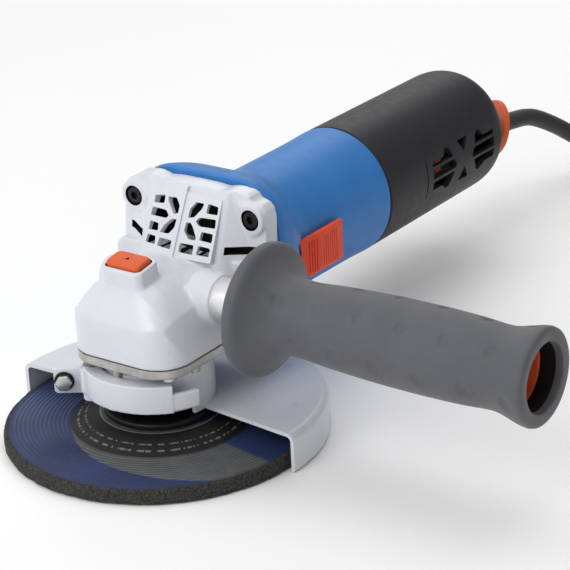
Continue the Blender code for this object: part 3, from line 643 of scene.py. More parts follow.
def place_camera():
    """At the photograph's angle: from the front right, above, and rolled a little."""
    azimuth, elevation, roll = (math.radians(v) for v in (CAMERA_AZIMUTH, CAMERA_ELEVATION, CAMERA_ROLL))
    ahead = Vector((-math.sin(azimuth) * math.cos(elevation), math.cos(azimuth) * math.cos(elevation),
                    -math.sin(elevation)))
    level = Vector((ahead.y, -ahead.x, 0)).normalized()
    right = math.cos(roll) * level + math.sin(roll) * level.cross(ahead)
    matrix = Matrix((right, right.cross(ahead), -ahead)).transposed().to_4x4()
    matrix.translation = CAMERA_PLACE
    data = bpy.data.cameras.new("camera")
    data.sensor_width = CAMERA_SENSOR
    data.lens = CAMERA_LENS
    data.clip_start = 0.01
    camera = placed("camera", data)
    camera.matrix_world = matrix
    bpy.context.scene.camera = camera


def soft_light(name, place, size, watts):
    data = bpy.data.lights.new(name, "AREA")
    data.size = size
    data.energy = watts
    light = placed(name, data)
    light.location = place
    light.rotation_euler = (Vector(LIT_PLACE) - Vector(place)).to_track_quat("-Z", "Y").to_euler()


def graded_sky():
    """A white sky that dims evenly from the front left to the back right."""
    world = bpy.data.worlds.new("studio")
    world.use_nodes = True
    tree = world.node_tree
    background = tree.nodes["Background"]
    background.inputs["Color"].default_value = (1.0, 1.0, 1.0, 1.0)
    parts = add(tree, "SeparateXYZ", {"Vector": add(tree, "TexCoord").outputs["Generated"]}).outputs
    away = maths(tree, "ADD", parts["X"], parts["Y"])
    falling = spread_over(tree, away, -SKY_REACH, SKY_REACH, SKY_BRIGHT, SKY_DIM)
    tree.links.new(falling, background.inputs["Strength"])
    bpy.context.scene.world = world


def pale_floor():
    low, high = (-FLOOR_HALF, -FLOOR_HALF, FLOOR_TOP - 0.95), (FLOOR_HALF, FLOOR_HALF, FLOOR_TOP)
    floor = mesh_object("floor", box(low, high))
    made, tree, shader, where = blank("floor", 0.9)
    vary(tree, shader, where, (FLOOR_WHITE,) * 3, 0.01, 3.0)
    floor.data.materials.append(made)


def studio():
    bpy.context.scene.view_settings.view_transform = "Standard"
    graded_sky()
    for light in LIGHTS:
        soft_light(*light)
    pale_floor()


# ---- cord


def outlet_frame():
    """Carries a shape turned about its own Y axis to the cord's outlet, which points a little down."""
    return Matrix.Translation(OUTLET) @ rotation(-OUTLET_DROP_DEG, "X")


def eased(value, start, end):
    """0 before start, 1 after end, and an even S between them."""
    t = min(max((value - start) / (end - start), 0.0), 1.0)
    return t * t * (3 - 2 * t)


def coil_route():
    """Five and a half turns: inwards through three rings on the floor, out again over them, then on top."""
    step = 2 * CORD_R
    per_turn, turns = 24, 5.5
    points = []
    for i in range(1, round(per_turn * turns) + 1):
        s = i / per_turn
        inwards = eased(s, 0.70, 0.85) + eased(s, 1.55, 1.70)
        outwards = eased(s, 3.25, 3.40) + eased(s, 4.10, 4.25)
        layer = eased(s, 2.40, 2.55) + eased(s, 4.80, 4.95)
        x, y = polar(COIL_TURN_R - step * (inwards - outwards), 180.0 - 360.0 * s)
        points.append((COIL_X + x, COIL_Y + y, CORD_R + step * layer))
    return points


def cord_route():
    """From the sleeve's end down to the floor, through the stored coil and on to the plug."""
    exit_point = outlet_frame() @ Vector((0, SLEEVE_LENGTH + 0.3, 0))
    hang = [(0.0, 280.0, 45.3), (1.3, 295.3, 42.6), (4.9, 310.7, 35.1), (9.7, 326.0, 25.0),
            (14.6, 341.3, 14.8), (18.2, 356.7, 7.4)]
    landing = (COIL_X - COIL_TURN_R, COIL_Y - CLEAR_OF_COIL, CORD_R + 0.7)
    meeting = (COIL_X - COIL_TURN_R, COIL_Y - 10.0, CORD_R)
    tail_x = COIL_X + COIL_TURN_R
    steps = ((CLEAR_OF_COIL, 14.6), (48.0, 10.0), (62.0, 8.4), (74.0, PLUG_Z))
    tail = [(tail_x, COIL_Y - along, z) for along, z in steps]
    return [exit_point, *hang, landing, meeting, *coil_route(), *tail]


def make_cord():
    points = smooth_through(cord_route(), 5.0)
    curve = bpy.data.curves.new("mains_cord", "CURVE")
    curve.dimensions = "3D"
    curve.bevel_depth = CORD_R * MM
    curve.bevel_resolution = 6
    curve.use_fill_caps = True
    spline = curve.splines.new("POLY")
    spline.points.add(len(points) - 1)
    for point, place in zip(spline.points, points):
        point.co = (*(place * MM), 1.0)
    spline.use_smooth = True
    curve.materials.append(LOOKS["cord_rubber"])
    cord = placed("mains_cord", curve)
    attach(cord, "housing")
    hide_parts("power_cord", "cord_coil", "cord_tail")
    plug = mains_plug()


def mains_plug():
    """A moulded two-pin plug, its grip ribbed across.

    Each station says how far along it is, half its width and height, and its corners' radius."""
    start, end = COIL_Y - 74.3, COIL_Y - 120.3
    stations = ((0.0, 5.4, 5.4, 5.2), (6.0, 5.7, 5.5, 5.2), (12.0, 6.6, 6.0, 5.4), (18.0, 10.2, 6.9, 5.9),
                (24.0, 14.0, 7.4, 6.4), (30.0, 16.9, 7.7, 6.9), (34.0, 18.0, 7.9, 7.2),
                (45.0, 17.7, 7.9, 7.2), (46.0, 16.8, 7.0, 6.4))
    rows = []
    for along, half_x, half_z, corner in smooth_through(stations, 1.2):
        radius = min(corner, half_x, half_z) - 0.05
        rows.append((start - along, rounded_box(half_x, half_z, radius, 6, (PLUG_X, PLUG_Z))))
    plug = mesh_object("mains_plug", lofted("Y", rows), "cord_rubber")
    ribs = []
    for k in range(4):
        rib = rounded_box(22.0, 0.7, 0.6, 3, (PLUG_X, start - 26.0 - 3.0 * k))
        ribs += [prism(rib, PLUG_Z + side * 7.1, PLUG_Z + side * 12.0) for side in (-1, 1)]
    cut(plug, together(*ribs))
    pin = [(0, end + 4.0), (2.4, end + 4.0), (2.4, end - 17.5), (1.6, end - 19.0), (0, end - 19.0)]
    pins = [turned(softened(pin, 0.5), 32, "Y", (PLUG_X + side * 9.5, PLUG_Z)) for side in (-1, 1)]
    join(plug, *pins, look="brass")
    return finished(plug, "housing", "cord_rubber", "plug")


def cord_fittings():
    """The ribbed strain relief and the ring that hangs on the cord."""
    sleeve = [(0, 0), (9.0, 0), (9.0, 3.4), (7.0, 3.4), (7.0, 8.6), (7.6, 8.6)]
    for k in range(7):
        y = 11.6 + 4.6 * k
        radius = 7.4 - 0.075 * (y - 11.6)
        sleeve += [(radius, y), (radius - 1.3, y + 0.2), (radius - 1.4, y + 1.6), (radius - 0.1, y + 1.8)]
    sleeve += [(5.0, SLEEVE_LENGTH), (0, SLEEVE_LENGTH)]
    relief = moved(turned(softened(sleeve, 0.35, 2), 64, "Y"), outlet_frame())
    piece("strain_relief", relief, "housing", "cord_rubber", "cord_sleeve")
    lean = rotation(-RING_YAW_DEG, "Z") @ rotation(-RING_DROP_DEG, "X")
    hanging = moved(ring(7.9, 13.4, -1.5, 1.5, "Y", edge=0.9), Matrix.Translation(RING_CENTRE) @ lean)
    piece("hanging_ring", hanging, "housing", "orange_plastic", "cord_ring")


# ---- gear head


def around_motor(dx, dz):
    return dx, MOTOR_Z + dz


def nose_outline():
    """The gear head seen from above: parallel sides and a rounded front."""
    half, corner, middle_y = NOSE_HALF, NOSE_CORNER, NOSE_FRONT_Y + NOSE_CORNER
    right = arc(corner, -90, 0, 16, (half - corner, middle_y))
    left = arc(corner, 180, 270, 16, (corner - half, middle_y))
    return left + right + [(half, NOSE_BACK_Y), (-half, NOSE_BACK_Y)]


def head_screw_places():
    return [around_motor(sx * SCREW_X, sz * SCREW_RISE) for sz in (1, -1) for sx in (-1, 1)]


def plate_screw_places():
    return [(sx * 19.0, y) for y in (-17.0, 17.0) for sx in (-1, 1)]


def head_shoulders():
    """What the nose is trimmed to: a rounded back that falls to a crease along both sides and the front.

    Each station says its place along Y, its crease, how wide it stands at the foot, and its top."""
    stations = ((-40.0, 21.0, 54.2, 26.5, 54.6), (-25.6, 21.0, 54.2, 26.5, 54.7),
                (-24.2, 21.2, 54.6, 26.5, 58.4), (-22.2, 21.5, 55.3, 26.5, 62.6),
                (-19.2, 22.0, 56.4, 26.6, 67.2), (-16.8, 22.3, 57.2, 26.7, 69.4),
                (-13.5, 22.5, 58.1, 26.8, 70.6), (-8.0, 22.8, 59.0, 26.9, 70.9),
                (4.0, 23.6, 60.7, 27.2, 70.2), (14.0, 24.7, 62.3, 27.6, 69.2), (40.0, 25.0, 64.0, 27.6, 69.0))
    steps, fullness, foot_z = 10, 2.7, 38.6
    loops = []
    for y, crease_x, crease_z, foot, top in stations:
        crown = []
        for k in range(1, steps + 1):
            crown.append((crease_x * k / steps, y, top - (top - crease_z) * (k / steps) ** fullness))
        loops.append(both_sides([*crown, (foot, y, foot_z), (foot + 0.4, y, foot_z - 1.6)]))
    return skin(loops)


def bulkhead():
    """The block that meets the motor shell. Its front leans back towards the top and towards the ears."""
    across = (0.5, 10.0, 19.0, 29.0, 39.0)
    levels = ((54.0, (6.0, 8.0, 12.0, 23.0, 26.5)), (60.0, (9.0, 10.5, 14.0, 24.0, 27.0)),
              (73.0, (14.8, 16.2, 19.2, 26.0, 28.0)), (97.0, (27.0, 27.4, 28.0, 28.9, 30.2)))
    loops = []
    for z, front in levels:
        half = [(x, y, z) for x, y in zip(across, front)]
        loops.append(both_sides([*half, (across[-1], FACE_Y + 1.0, z)]))
    return skin(loops)


def head_outline():
    """The bulkhead seen from the front: round-cornered, its top edge bowed a little."""
    low = [point for point in rounded_box(35.0, 36.6, 9.5, 8, around_motor(0, 0)) if point[1] < MOTOR_Z]
    top = [(35.0, 85.0), (34.5, 88.6), (32.6, 90.8), (29.6, 91.6), (28.4, 92.2), (27.6, 93.6), (25.5, 94.6),
           (20.0, 95.0), (17.0, 94.7), (14.5, 94.0), (8.0, 94.4)]
    return [*top, (0.0, 94.6), *[(-x, z) for x, z in reversed(top)], *low]


def grille_cavity():
    """The air space behind the grille, whose walls take a near-black painted shade. Its wall is thin on the
    left and thicker on the right.
    """
    walls = ((-17.3, 1.2, LEFT_FACE), (0.0, 1.2, LEFT_FACE), (1.5, 2.0, RIGHT_FACE), (16.9, 2.0, RIGHT_FACE))
    loops = []
    for x, wall, (origin, row, _) in walls:
        front = origin[1] + row[1] * x + wall
        slope = [(x, front + GRILLE_SLOPE * (z - origin[2]), z) for z in (CAVITY_Z0, CAVITY_Z1)]
        loops.append([*slope, (x, CAVITY_BACK_Y, CAVITY_Z1), (x, CAVITY_BACK_Y, CAVITY_Z0)])
    return skin(loops)


# The grille's openings, each drawn on its own slanting face from the face's origin.
LEFT_OPENINGS = (
    ((-15, 15.4), (-9.9, 16.5), (-9.7, 13.6), (-15, 12.7)),
    ((-8.4, 16.3), (-4.2, 16.8), (-1.9, 14.4), (-1.6, 12), (-4, 10.8), (-7.8, 14.6)),
    ((-15.3, 11.2), (-8.1, 11.5), (-6.3, 9.9), (-7.4, 8.8), (-16, 8.2)),
    ((-15.6, 6.3), (-10.6, 6.3), (-10.2, 3.7), (-16.1, 3.1)),
    ((-4.6, 9.2), (-1.9, 9.6), (-2.2, 6.5), (-4.4, 3.9), (-9.2, 3.4), (-7.7, 6.4)),
    ((-16.1, 1.5), (-10.9, 1.6), (-10.7, -1.2), (-16.8, -1.5)),
    ((-8.6, 1.7), (-2, 2), (-2, -1.1), (-9.2, -1.4)),
)
RIGHT_OPENINGS = (
    ((11.1, 17.4), (15.8, 16.8), (16.1, 14), (11, 14)),
    ((5.7, 17.4), (9.4, 17.2), (8.8, 15.3), (6.2, 12), (3.6, 11.5), (3.6, 14.7)),
    ((8.5, 12.3), (15.9, 12.4), (16.4, 9.3), (9.2, 9.2), (7.2, 10.7)),
    ((3.3, 10), (5.4, 9.9), (6.8, 8.4), (9, 5.1), (8.8, 4.2), (5.7, 4.3), (3.1, 6.8)),
    ((10.8, 7.5), (16, 7.3), (16.3, 4.2), (10.6, 4.5)),
    ((2.6, 2.5), (8.7, 2.5), (9, -0.9), (2.6, -0.7)),
    ((10.7, 2.6), (16.2, 2.3), (16.3, -0.7), (10.5, -0.6)),
)


def add_grille(obj):
    """A flush grille on the left, a proud plate on the right and a fin between them, then their openings."""
    plate = softened([(0.6, 20.7), (16.8, 19.5), (17.6, -2.8), (0.6, -2.8)], 0.8)
    fin = prism([(10.9, 68.0), (12.9, 72.0), (24.1, 94.3), (32.0, 94.3), (32.0, 68.0)], -0.9, 0.9, "X")
    join(obj, slab(plate, RIGHT_FACE, -5.0, 0.0), fin)
    # The cavity's walls take a near-black painted shade.
    cut(obj, grille_cavity(), look="dark_inside")
    cuts = []
    for face, openings in ((LEFT_FACE, LEFT_OPENINGS), (RIGHT_FACE, RIGHT_OPENINGS)):
        cuts += [slab(softened(hole, 0.5, 2), face, -8.0, 4.0) for hole in openings]
    cut(obj, together(*cuts))
    side_slot = ((20.0, 14.0), (30.5, 20.0), (30.5, 29.0), (20.0, 26.0))
    slots = [prism([(side * x, y) for x, y in side_slot], 71.2, 74.2) for side in (-1, 1)]
    # The slots' walls take a near-black painted shade.
    cut(obj, together(*slots), look="dark_inside")


def leaned(shape):
    """Leans a shape with the head's nose, as the lock button and its surround do."""
    pivot = Vector((0, BUTTON_Y, KEY_PIVOT_Z))
    lean = Matrix.Translation(pivot) @ rotation(KEY_LEAN_DEG, "X")
    return moved(shape, lean @ Matrix.Translation(-pivot))


def handle_pad(side):
    """The boss that the handle screws against. The one on the left stands out less."""
    ends = ((10.2, 18.0), (9.9, 28.4), (9.4, 29.0)) if side > 0 else ((7.6, 18.0), (7.0, 26.6), (6.4, 27.2))
    return lofted("X", [(side * x, circle(radius, 40, HANDLE_AXIS)) for radius, x in ends])


def gear_head():
    obj = mesh_object("gear_head", prism(nose_outline(), HOUSING_Z0, 80.0), "white_paint")
    trim(obj, head_shoulders())
    waist = prism(rounded_box(34.5, 14.2, 4.0, 6, (0.0, 54.2)), 20.6, FACE_Y + 2.0, "Y")
    heel = prism(rounded_box(35.5, 6.3, 1.5, 4, (0.0, 41.3)), 24.0, FACE_Y + 3.0, "Y")
    join(obj, bulkhead(), waist, heel)
    trim(obj, prism(head_outline(), -40, 50.0, "Y"))
    ears = [cylinder(6.3, 26.0, FACE_Y + 4.0, "Y", place) for place in head_screw_places()]
    boss = leaned(prism(rounded_box(9.9, 6.7, 3.4, 8, (0.0, BUTTON_Y)), 66.0, 75.8))
    join(obj, *ears, boss, handle_pad(-1), handle_pad(1))
    cut(obj, box((-60.0, FACE_Y, 0.0), (60.0, 60.0, 120.0)))
    melt(obj, 0.6, 4)
    add_grille(obj)
    pocket = leaned(prism(rounded_box(8.6, 5.3, 2.5, 6, (0.0, BUTTON_Y)), 70.5, 90.0))
    studs = [cylinder(4.3, low, high, "X", HANDLE_AXIS) for low, high in ((-30, -20), (20, 30))]
    seats = [cylinder(4.2, 10.0, 28.4, "Y", place) for place in head_screw_places()]
    # The walls of the button's pocket, the handle's stud holes and the screw seats take a near-black painted
    # shade.
    cut(obj, pocket, together(*studs), together(*seats), look="dark_inside")
    finished(obj, "housing", "white_paint", "gear_housing", sharp=40)


def flange_plate():
    """The raw cast plate under the gear head, with the neck that the guard's collar closes on."""
    obj = mesh_object("flange_plate", prism(nose_outline(), PLATE_Z0, PLATE_Z1, edge=0.5), "cast_aluminium")
    neck = [(10.0, 19.0), (19.4, 19.0), (20.0, 19.6), (20.0, 24.0), (19.2, 24.6), (19.2, 28.0),
            (20.0, 28.6), (20.0, 37.0), (10.0, 37.0)]
    lug_places = [polar(22.2, degrees) for degrees in (-95, -12, 78, 168)]
    lugs = [cylinder(2.2, 32.5, 37.0, centre=place, steps=24) for place in lug_places]
    join(obj, turned(neck, 96), *lugs)
    holes = [cylinder(3.3, 30.0, 36.1, centre=place, steps=24) for place in plate_screw_places()]
    cut(obj, cylinder(9.9, 10.0, 45.0), together(*holes))
    finished(obj, "housing", "cast_aluminium", "bearing_flange")


def lobed(radius, centre, steps=48):
    """The outline of a six-lobed socket."""
    points = []
    for i in range(steps):
        degrees = 360.0 * i / steps
        u, v = polar(radius * (1 + 0.12 * math.cos(math.radians(6 * degrees))), degrees)
        points.append((centre[0] + u, centre[1] + v))
    return points


def cap_screw(name, node, slot, place, face, axis, head_r, head_length):
    """A cap screw with a six-lobed socket, its head below `face` on its axis, and a little of its shank."""
    top, tip, shank_r = face - head_length, face + 3.0, head_r * 0.45
    profile = [(0, top), (head_r, top), (head_r, face), (shank_r, face), (shank_r, tip), (0, tip)]
    obj = mesh_object(name, turned(softened(profile, 0.6), 48, axis, place), slot)
    cut(obj, prism(lobed(head_r * 0.45, place), top - 1, top + head_length * 0.6, axis))
    finished(obj, "housing", slot, node)


def head_fasteners():
    for i, place in enumerate(plate_screw_places(), 1):
        cap_screw(f"bottom_screw_{i}", f"flange_screw_{i}", "bright_steel", place, 35.3, "Z", 3.0, 2.3)
    for i, place in enumerate(head_screw_places(), 1):
        cap_screw(f"head_screw_{i}", f"housing_screw_{i}", "black_steel", place, 28.7, "Y", 3.5, 2.4)


def lock_button():
    """A flat orange key that leans with the head's nose. Its levels say half-sizes, corner and height."""
    levels = ((8.0, 4.7, 2.0, 72.2), (8.0, 4.7, 2.0, 76.4), (7.9, 4.6, 2.0, 77.0), (7.5, 4.2, 1.8, 77.5),
              (6.8, 3.5, 1.4, 77.7))
    rows = [(z, rounded_box(half_x, half_y, corner, 8, (0.0, BUTTON_Y)))
            for half_x, half_y, corner, z in levels]
    button = mesh_object("button", leaned(lofted("Z", rows)), "orange_plastic")
    arrow = prism([(-1.1, BUTTON_Y - 0.7), (1.1, BUTTON_Y - 0.7), (0.0, BUTTON_Y + 0.9)], 77.3, 79.0)
    cut(button, leaned(arrow), look="dark_inside")
    finished(button, "lock", "orange_plastic", "lock_button")


# ---- wheel and guard


def grinding_wheel():
    """The pressed wheel. Its rim is left rough, so its radius wanders by a few tenths."""
    top, bottom, edge_top = 10.3, 4.4, 6.0
    profile = [(11.1, bottom), (22.5, bottom), (31.0, 0.0)]
    profile += [(r, 0.0) for r in (40.0, 50.0, 56.0, 59.0, 61.4)]
    profile += [(WHEEL_R, 0.7), (WHEEL_R, 1.8), (WHEEL_R, 3.0), (WHEEL_R, 4.2), (WHEEL_R - 0.2, 5.3)]
    profile += [(r, edge_top) for r in (61.6, 59.0, 56.0, 50.0, 40.0)]
    profile += [(36.5, edge_top + 0.1), (34.5, 6.7), (28.0, 9.4), (25.8, 10.1), (24.4, top), (11.1, top)]
    shape = turned(profile, 240)
    for vert in shape.verts:
        radius = vert.co.xy.length
        if radius > 60.5:
            wander = noise.fractal(vert.co * 0.33, 0.9, 2.2, 4) * 0.42
            bite = noise.noise(vert.co * 0.11 + Vector((7, 3, 1))) * 0.25
            share = 1 + (min(0.0, wander + bite - 0.15)) / radius
            vert.co.x *= share
            vert.co.y *= share
    piece("wheel", shape, "spindle", "abrasive", "grinding_wheel", sharp=60)


def wheel_clamping():
    support = [(7.2, 6.0), (10.8, 6.0), (10.8, 10.6), (22.4, 10.6), (22.4, 12.6), (21.6, 13.2), (19.0, 14.4),
               (13.0, 14.4), (13.0, 16.8), (7.2, 16.8)]
    piece("support_flange", turned(softened(support, 0.5)), "spindle", "black_steel", "inner_flange")
    nut = mesh_object("wheel_nut", ring(7.2, 20.0, 0.6, 4.1, edge=0.7), "bright_steel")
    holes = [cylinder(2.4, -1.0, 2.8, centre=polar(15.0, 90 * k), steps=24) for k in range(4)]
    cut(nut, together(*holes))
    finished(nut, "spindle", "bright_steel", "clamp_nut")


def threaded_spindle():
    """The output shaft: a threaded nose, a wrench collar and the bearing seats above."""
    profile = [(0, 0), (5.6, 0), (6.3, 0.7)]
    for k in range(8):
        z = 0.9 + 2.0 * k
        profile += [(6.9, z + 0.5), (6.9, z + 0.8), (5.9, z + 1.6)]
    profile += [(6.0, 17.1), (8.6, 17.1), (8.6, 30.0), (7.2, 30.0), (7.2, 36.2), (5.7, 36.2), (5.7, 58.0),
                (3.7, 58.8), (3.7, 67.8), (0, 67.8)]
    piece("output_spindle", turned(profile, 64), "spindle", "bright_steel", "spindle")


def guard_profile():
    """The hood in section: a flat plate, a rounded shoulder and a skirt."""
    outer, sheet, bend, plate_low = GUARD_R, GUARD_SHEET, GUARD_BEND, GUARD_TOP_Z - GUARD_SHEET
    skirt_low = 0.5
    over = [(outer - bend + r, GUARD_TOP_Z - bend + z) for r, z in arc(bend, 90, 0, 8)]
    under = [(outer - bend + r, GUARD_TOP_Z - bend + z) for r, z in arc(bend - sheet, 0, 90, 6)]
    skirt = [(outer, skirt_low + 0.4), (outer - 0.4, skirt_low), (outer - sheet + 0.4, skirt_low),
             (outer - sheet, skirt_low + 0.4)]
    return [(21.0, plate_low), (21.0, GUARD_TOP_Z), *over, *skirt, *under]


def at_ear(shape):
    """Carries a shape from the X axis round to the guard's ear."""
    return moved(shape, rotation(EAR_DEG, "Z"))


def wheel_guard():
    obj = mesh_object("wheel_guard", turned(guard_profile(), 160), "white_paint")
    front_edge = [(-80.0, -6.1), (-20.0, -4.9), (12.0, -4.9), (20.2, 0.6), (80.0, -5.2), (80.0, -80.0),
                  (-80.0, -80.0)]
    cut(obj, prism(front_edge, -5.0, 30.0))
    join(obj, ring(20.4, COLLAR_R, 14.5, 33.0, steps=128, edge=0.5))
    cut(obj, box((-30.0, -30.0, 10.0), (30.0, -5.2, 17.6)))
    pin = polar(PIVOT_R, PIVOT_DEG)
    ear = prism(rounded_box(10.0, 5.2, 1.5, 6, (31.4, 22.6)), -1.6, 1.6, "Y", edge=0.4)
    shelf = prism(circle(3.6, 40, pin), 18.0, 20.6)
    bridge = moved(box((21.0, -3.4, 18.2), (25.0, 3.4, 20.4)), rotation(PIVOT_DEG, "Z"))
    join(obj, at_ear(ear), shelf, bridge)
    bolt_hole = cylinder(2.0, -6.0, 6.0, "Y", (BOLT_R, BOLT_Z), 32)
    pin_hole = cylinder(2.2, 10.0, 40.0, centre=pin, steps=32)
    cut(obj, at_ear(bolt_hole), pin_hole)
    finished(obj, "guard", "white_paint", "guard")


def about_bolt(outline):
    return [(BOLT_R + u, BOLT_Z + v) for u, v in outline]


def clamp_fasteners():
    """The clamping bolt through the guard's ear, its nut, and the pin that the lever turns on."""
    centre = (BOLT_R, BOLT_Z)
    head = about_bolt(softened(circle(3.4, 6), 0.3, 1))
    bolt = mesh_object("bolt", at_ear(prism(head, 2.4, 5.1, "Y", edge=0.4)), "bright_steel")
    join(bolt, at_ear(ring(1.2, 4.0, 1.8, 2.5, "Y", centre, 48, 0.2)), look="black_steel")
    join(bolt, at_ear(cylinder(1.7, -7.0, 3.0, "Y", centre, 32)))
    finished(bolt, "guard", "bright_steel", "clamp_bolt")
    hexagon = about_bolt(circle(3.6, 6))
    nut = mesh_object("nut", at_ear(prism(hexagon, -4.9, -1.9, "Y", edge=0.4)), "bright_steel")
    cut(nut, at_ear(cylinder(2.0, -8.0, 0.0, "Y", centre, 32)))
    finished(nut, "guard", "bright_steel", "clamp_bolt_nut")
    pin = softened([(0, 16.8), (1.9, 16.8), (1.9, 31.3), (3.2, 31.3), (3.2, 32.4), (0, 32.4)], 0.3)
    piece("pin", turned(pin, 32, "Z", polar(PIVOT_R, PIVOT_DEG)), "guard", "bright_steel", "lever_pin")


def clamp_lever():
    """A curved band along the collar, which ends in a lower finger tab."""
    pin = polar(PIVOT_R, PIVOT_DEG)
    band = arc(29.8, -130, -41, 40) + arc(23.4, -41, -130, 40)
    obj = mesh_object("lever", prism(band, 21.0, 32.4), "white_paint")
    tab = arc(29.5, -43, -20, 10) + arc(27.2, -20, -43, 10)
    join(obj, prism(tab, 21.6, 28.6), cylinder(4.4, 21.0, 30.9, centre=pin))
    melt(obj, 0.35, 5)
    head_room = cylinder(3.6, 30.9, 40.0, centre=pin, steps=32)
    cut(obj, cylinder(2.3, 10.0, 40.0, centre=pin, steps=32), head_room)
    finished(obj, "clamp_lever", "white_paint", "clamp_lever", sharp=45)


# ---- motor shell and rear shell


def motor_shell():
    """The blue shell, which grows from a round grip to a square mounting flange.

    Each station says its place along Y, half its width and height, and its corners' radius."""
    stations = ((35.3, 35.6, 36.6, 20.0), (36.2, 36.1, 37.1, 20.5), (39.5, 36.2, 37.2, 21.5),
                (46.0, 35.4, 35.9, 25.0), (52.0, 33.2, 33.4, 27.0), (58.0, 30.2, 30.6, 28.5),
                (64.0, 28.2, 28.6, 27.9), (72.0, 27.6, 27.6, 27.5), (90.0, 27.6, 27.6, 27.5),
                (110.0, 27.8, 27.8, 27.7), (125.2, 28.3, 28.3, 28.2), (126.0, 27.8, 27.8, 27.7))
    middle = around_motor(0, 0)
    rows = []
    for y, half_x, half_z, corner in smooth_through(stations, 1.0):
        radius = min(corner, half_x - 0.02, half_z - 0.02)
        rows.append((y, rounded_box(half_x, half_z, radius, 24, middle)))
    obj = mesh_object("motor_shell", lofted("Y", rows), "blue_plastic")
    join(obj, cylinder(25.4, 120.0, 134.0, "Y", middle, 96))
    bed_edge = arc(28.25, -25.0, 17.0, 24, middle)
    bed = prism([*bed_edge, (45.0, bed_edge[-1][1]), (45.0, bed_edge[0][1])], 49.0, 76.0, "Y")
    slider_slot = box((20.0, 62.5, 55.2), (32.0, 78.8, 63.2))
    thumb_rest = Matrix.Translation((37.6, 57.5, 63.0)) @ Matrix.Diagonal((8.0, 6.0, 9.5, 1.0))
    cut(obj, bed, moved(turned(arc(1.0, -90, 90, 24), 48), thumb_rest))
    bore = [(0, 30.0), (27.2, 30.0), (27.2, 50.0), (25.2, 56.0), (25.2, 118.0), (23.5, 122.0), (23.5, 140.0),
            (0, 140.0)]
    # The bore and the slider's slot take a near-black painted shade.
    cut(obj, turned(bore, 96, "Y", middle), slider_slot, look="dark_inside")
    finished(obj, "housing", "blue_plastic", "motor_housing")


def switch_slider():
    """The slider: two flat faces that meet in an upright crease, both finely ribbed."""
    foot, crease, tail = (28.7, 58.0), (31.5, 69.0), (30.3, 86.0)
    outer = [(29.4, -11.25), (31.0, -9.4), (31.6, -6.5), (31.6, 3.6), (31.2, 5.6), (30.3, 6.8)]
    inner = [(u, v - MOTOR_Z) for u, v in arc(28.6, 12.5, -21.0, 16, around_motor(0, 0))]
    shell = [around_motor(u, v) for u, v in outer + inner]
    block = prism(softened(shell, 0.7), foot[1], tail[1], "Y", edge=0.5)
    obj = mesh_object("slider", block, "red_orange_plastic")
    clear = [foot, crease, tail, (tail[0], 90.0), (36.0, 90.0), (36.0, 54.0), (foot[0], 54.0)]
    cut(obj, prism(clear, 40.0, 80.0))
    melt(obj, 0.3, 3)
    join(obj, box((22.8, 70.2, 55.8), (29.4, 78.0, 62.6)))
    grooves = []
    front_shares, back_shares = (0.42, 0.54, 0.66, 0.78), [0.1 + 0.1 * k for k in range(7)]
    for start, end, shares in ((foot, crease, front_shares), (crease, tail, back_shares)):
        for share in shares:
            x, y = Vector(start).lerp(Vector(end), share)
            grooves.append(prism(rounded_box(0.5, 0.32, 0.3, 3, (x + 0.1, y)), MOTOR_Z - 9.0, MOTOR_Z + 4.6))
    cut(obj, together(*grooves))
    finished(obj, "switch", "red_orange_plastic", "switch_slider", sharp=28)


def vent_shapes():
    """The crossed vents on one side, each as (place along Y, degrees above the middle)."""
    front = (
        ((160.5, 8.8), (160.5, 13), (169.5, 13), (172.5, 20.5), (175.5, 17.5), (177.4, 8.8)),
        ((160.5, -2.7), (160.5, 6.2), (178, 6.2), (180, 0), (179, -2.7)),
        ((160.5, -5.3), (178.2, -5.3), (175, -17.5), (172.5, -19), (168, -13), (160.5, -13)),
    )
    mirror = 373.2
    rear = tuple(tuple((mirror - y, degrees) for y, degrees in shape) for shape in front)
    between_groups = (((191, 20), (182.5, 20), (186.6, 7.5)), ((191, -19), (182.5, -19), (186.6, -6)))
    return front + rear + between_groups


def on_cover(radius, y, degrees, side):
    u, v = polar(radius, degrees)
    return side * u, y, MOTOR_Z + v


def finely(outline, step=1.2):
    """An outline with extra points, so that it can wrap around a curved wall."""
    made = []
    for i, point in enumerate(outline):
        start, end = Vector(outline[i - 1]), Vector(point)
        count = max(1, round((end - start).length / step))
        made += [tuple(start + (end - start) * k / count) for k in range(count)]
    return made


def rear_shell():
    """The charcoal shell over the switch, hollow, with its vents cut through on both sides."""
    middle, end = around_motor(0, 0), COVER_END_Y
    outer = [(25.8, SEAM_Y), (27.8, SEAM_Y), (28.3, SEAM_Y + 0.5), (28.3, end - 11.0), (27.9, end - 7.0),
             (26.8, end - 3.5), (24.8, end - 1.0), (21.0, end), (0, end), (0, end - 3.0), (21.5, end - 3.0),
             (25.2, end - 8.0), (25.8, end - 12.0)]
    shape = turned(softened(outer, 1.2, 4), 160, "Y", middle)
    obj = mesh_object("rear_shell", shape, "charcoal_plastic")
    cuts = []
    for side in (-1, 1):
        for shape in vent_shapes():
            outline = finely(softened(shape, 0.6, 2))
            cuts.append(skin([[on_cover(r, y, a, side) for y, a in outline] for r in (20.0, 32.0)]))
    cut(obj, together(*cuts))
    grooves = []
    for side in (-1, 1):
        band = arc(29.0, -18, 18, 16) + arc(27.95, 18, -18, 16)
        grooves.append(prism([(side * u, MOTOR_Z + v) for u, v in band], 155.2, 156.0, "Y"))
    outlet = cylinder(8.0, end - 6.0, end + 5.0, "Y", (OUTLET.x, OUTLET.z - 0.4))
    cover_screw = (0.0, 130.5)
    screw_hole = cylinder(3.2, 25.0, 34.5, centre=cover_screw)
    cut(obj, together(*grooves), outlet, screw_hole)
    finished(obj, "housing", "charcoal_plastic", "rear_cover")
    cap_screw("cover_fastener", "cover_screw", "black_steel", cover_screw, 33.2, "Z", 2.7, 1.9)


# ---- side handle


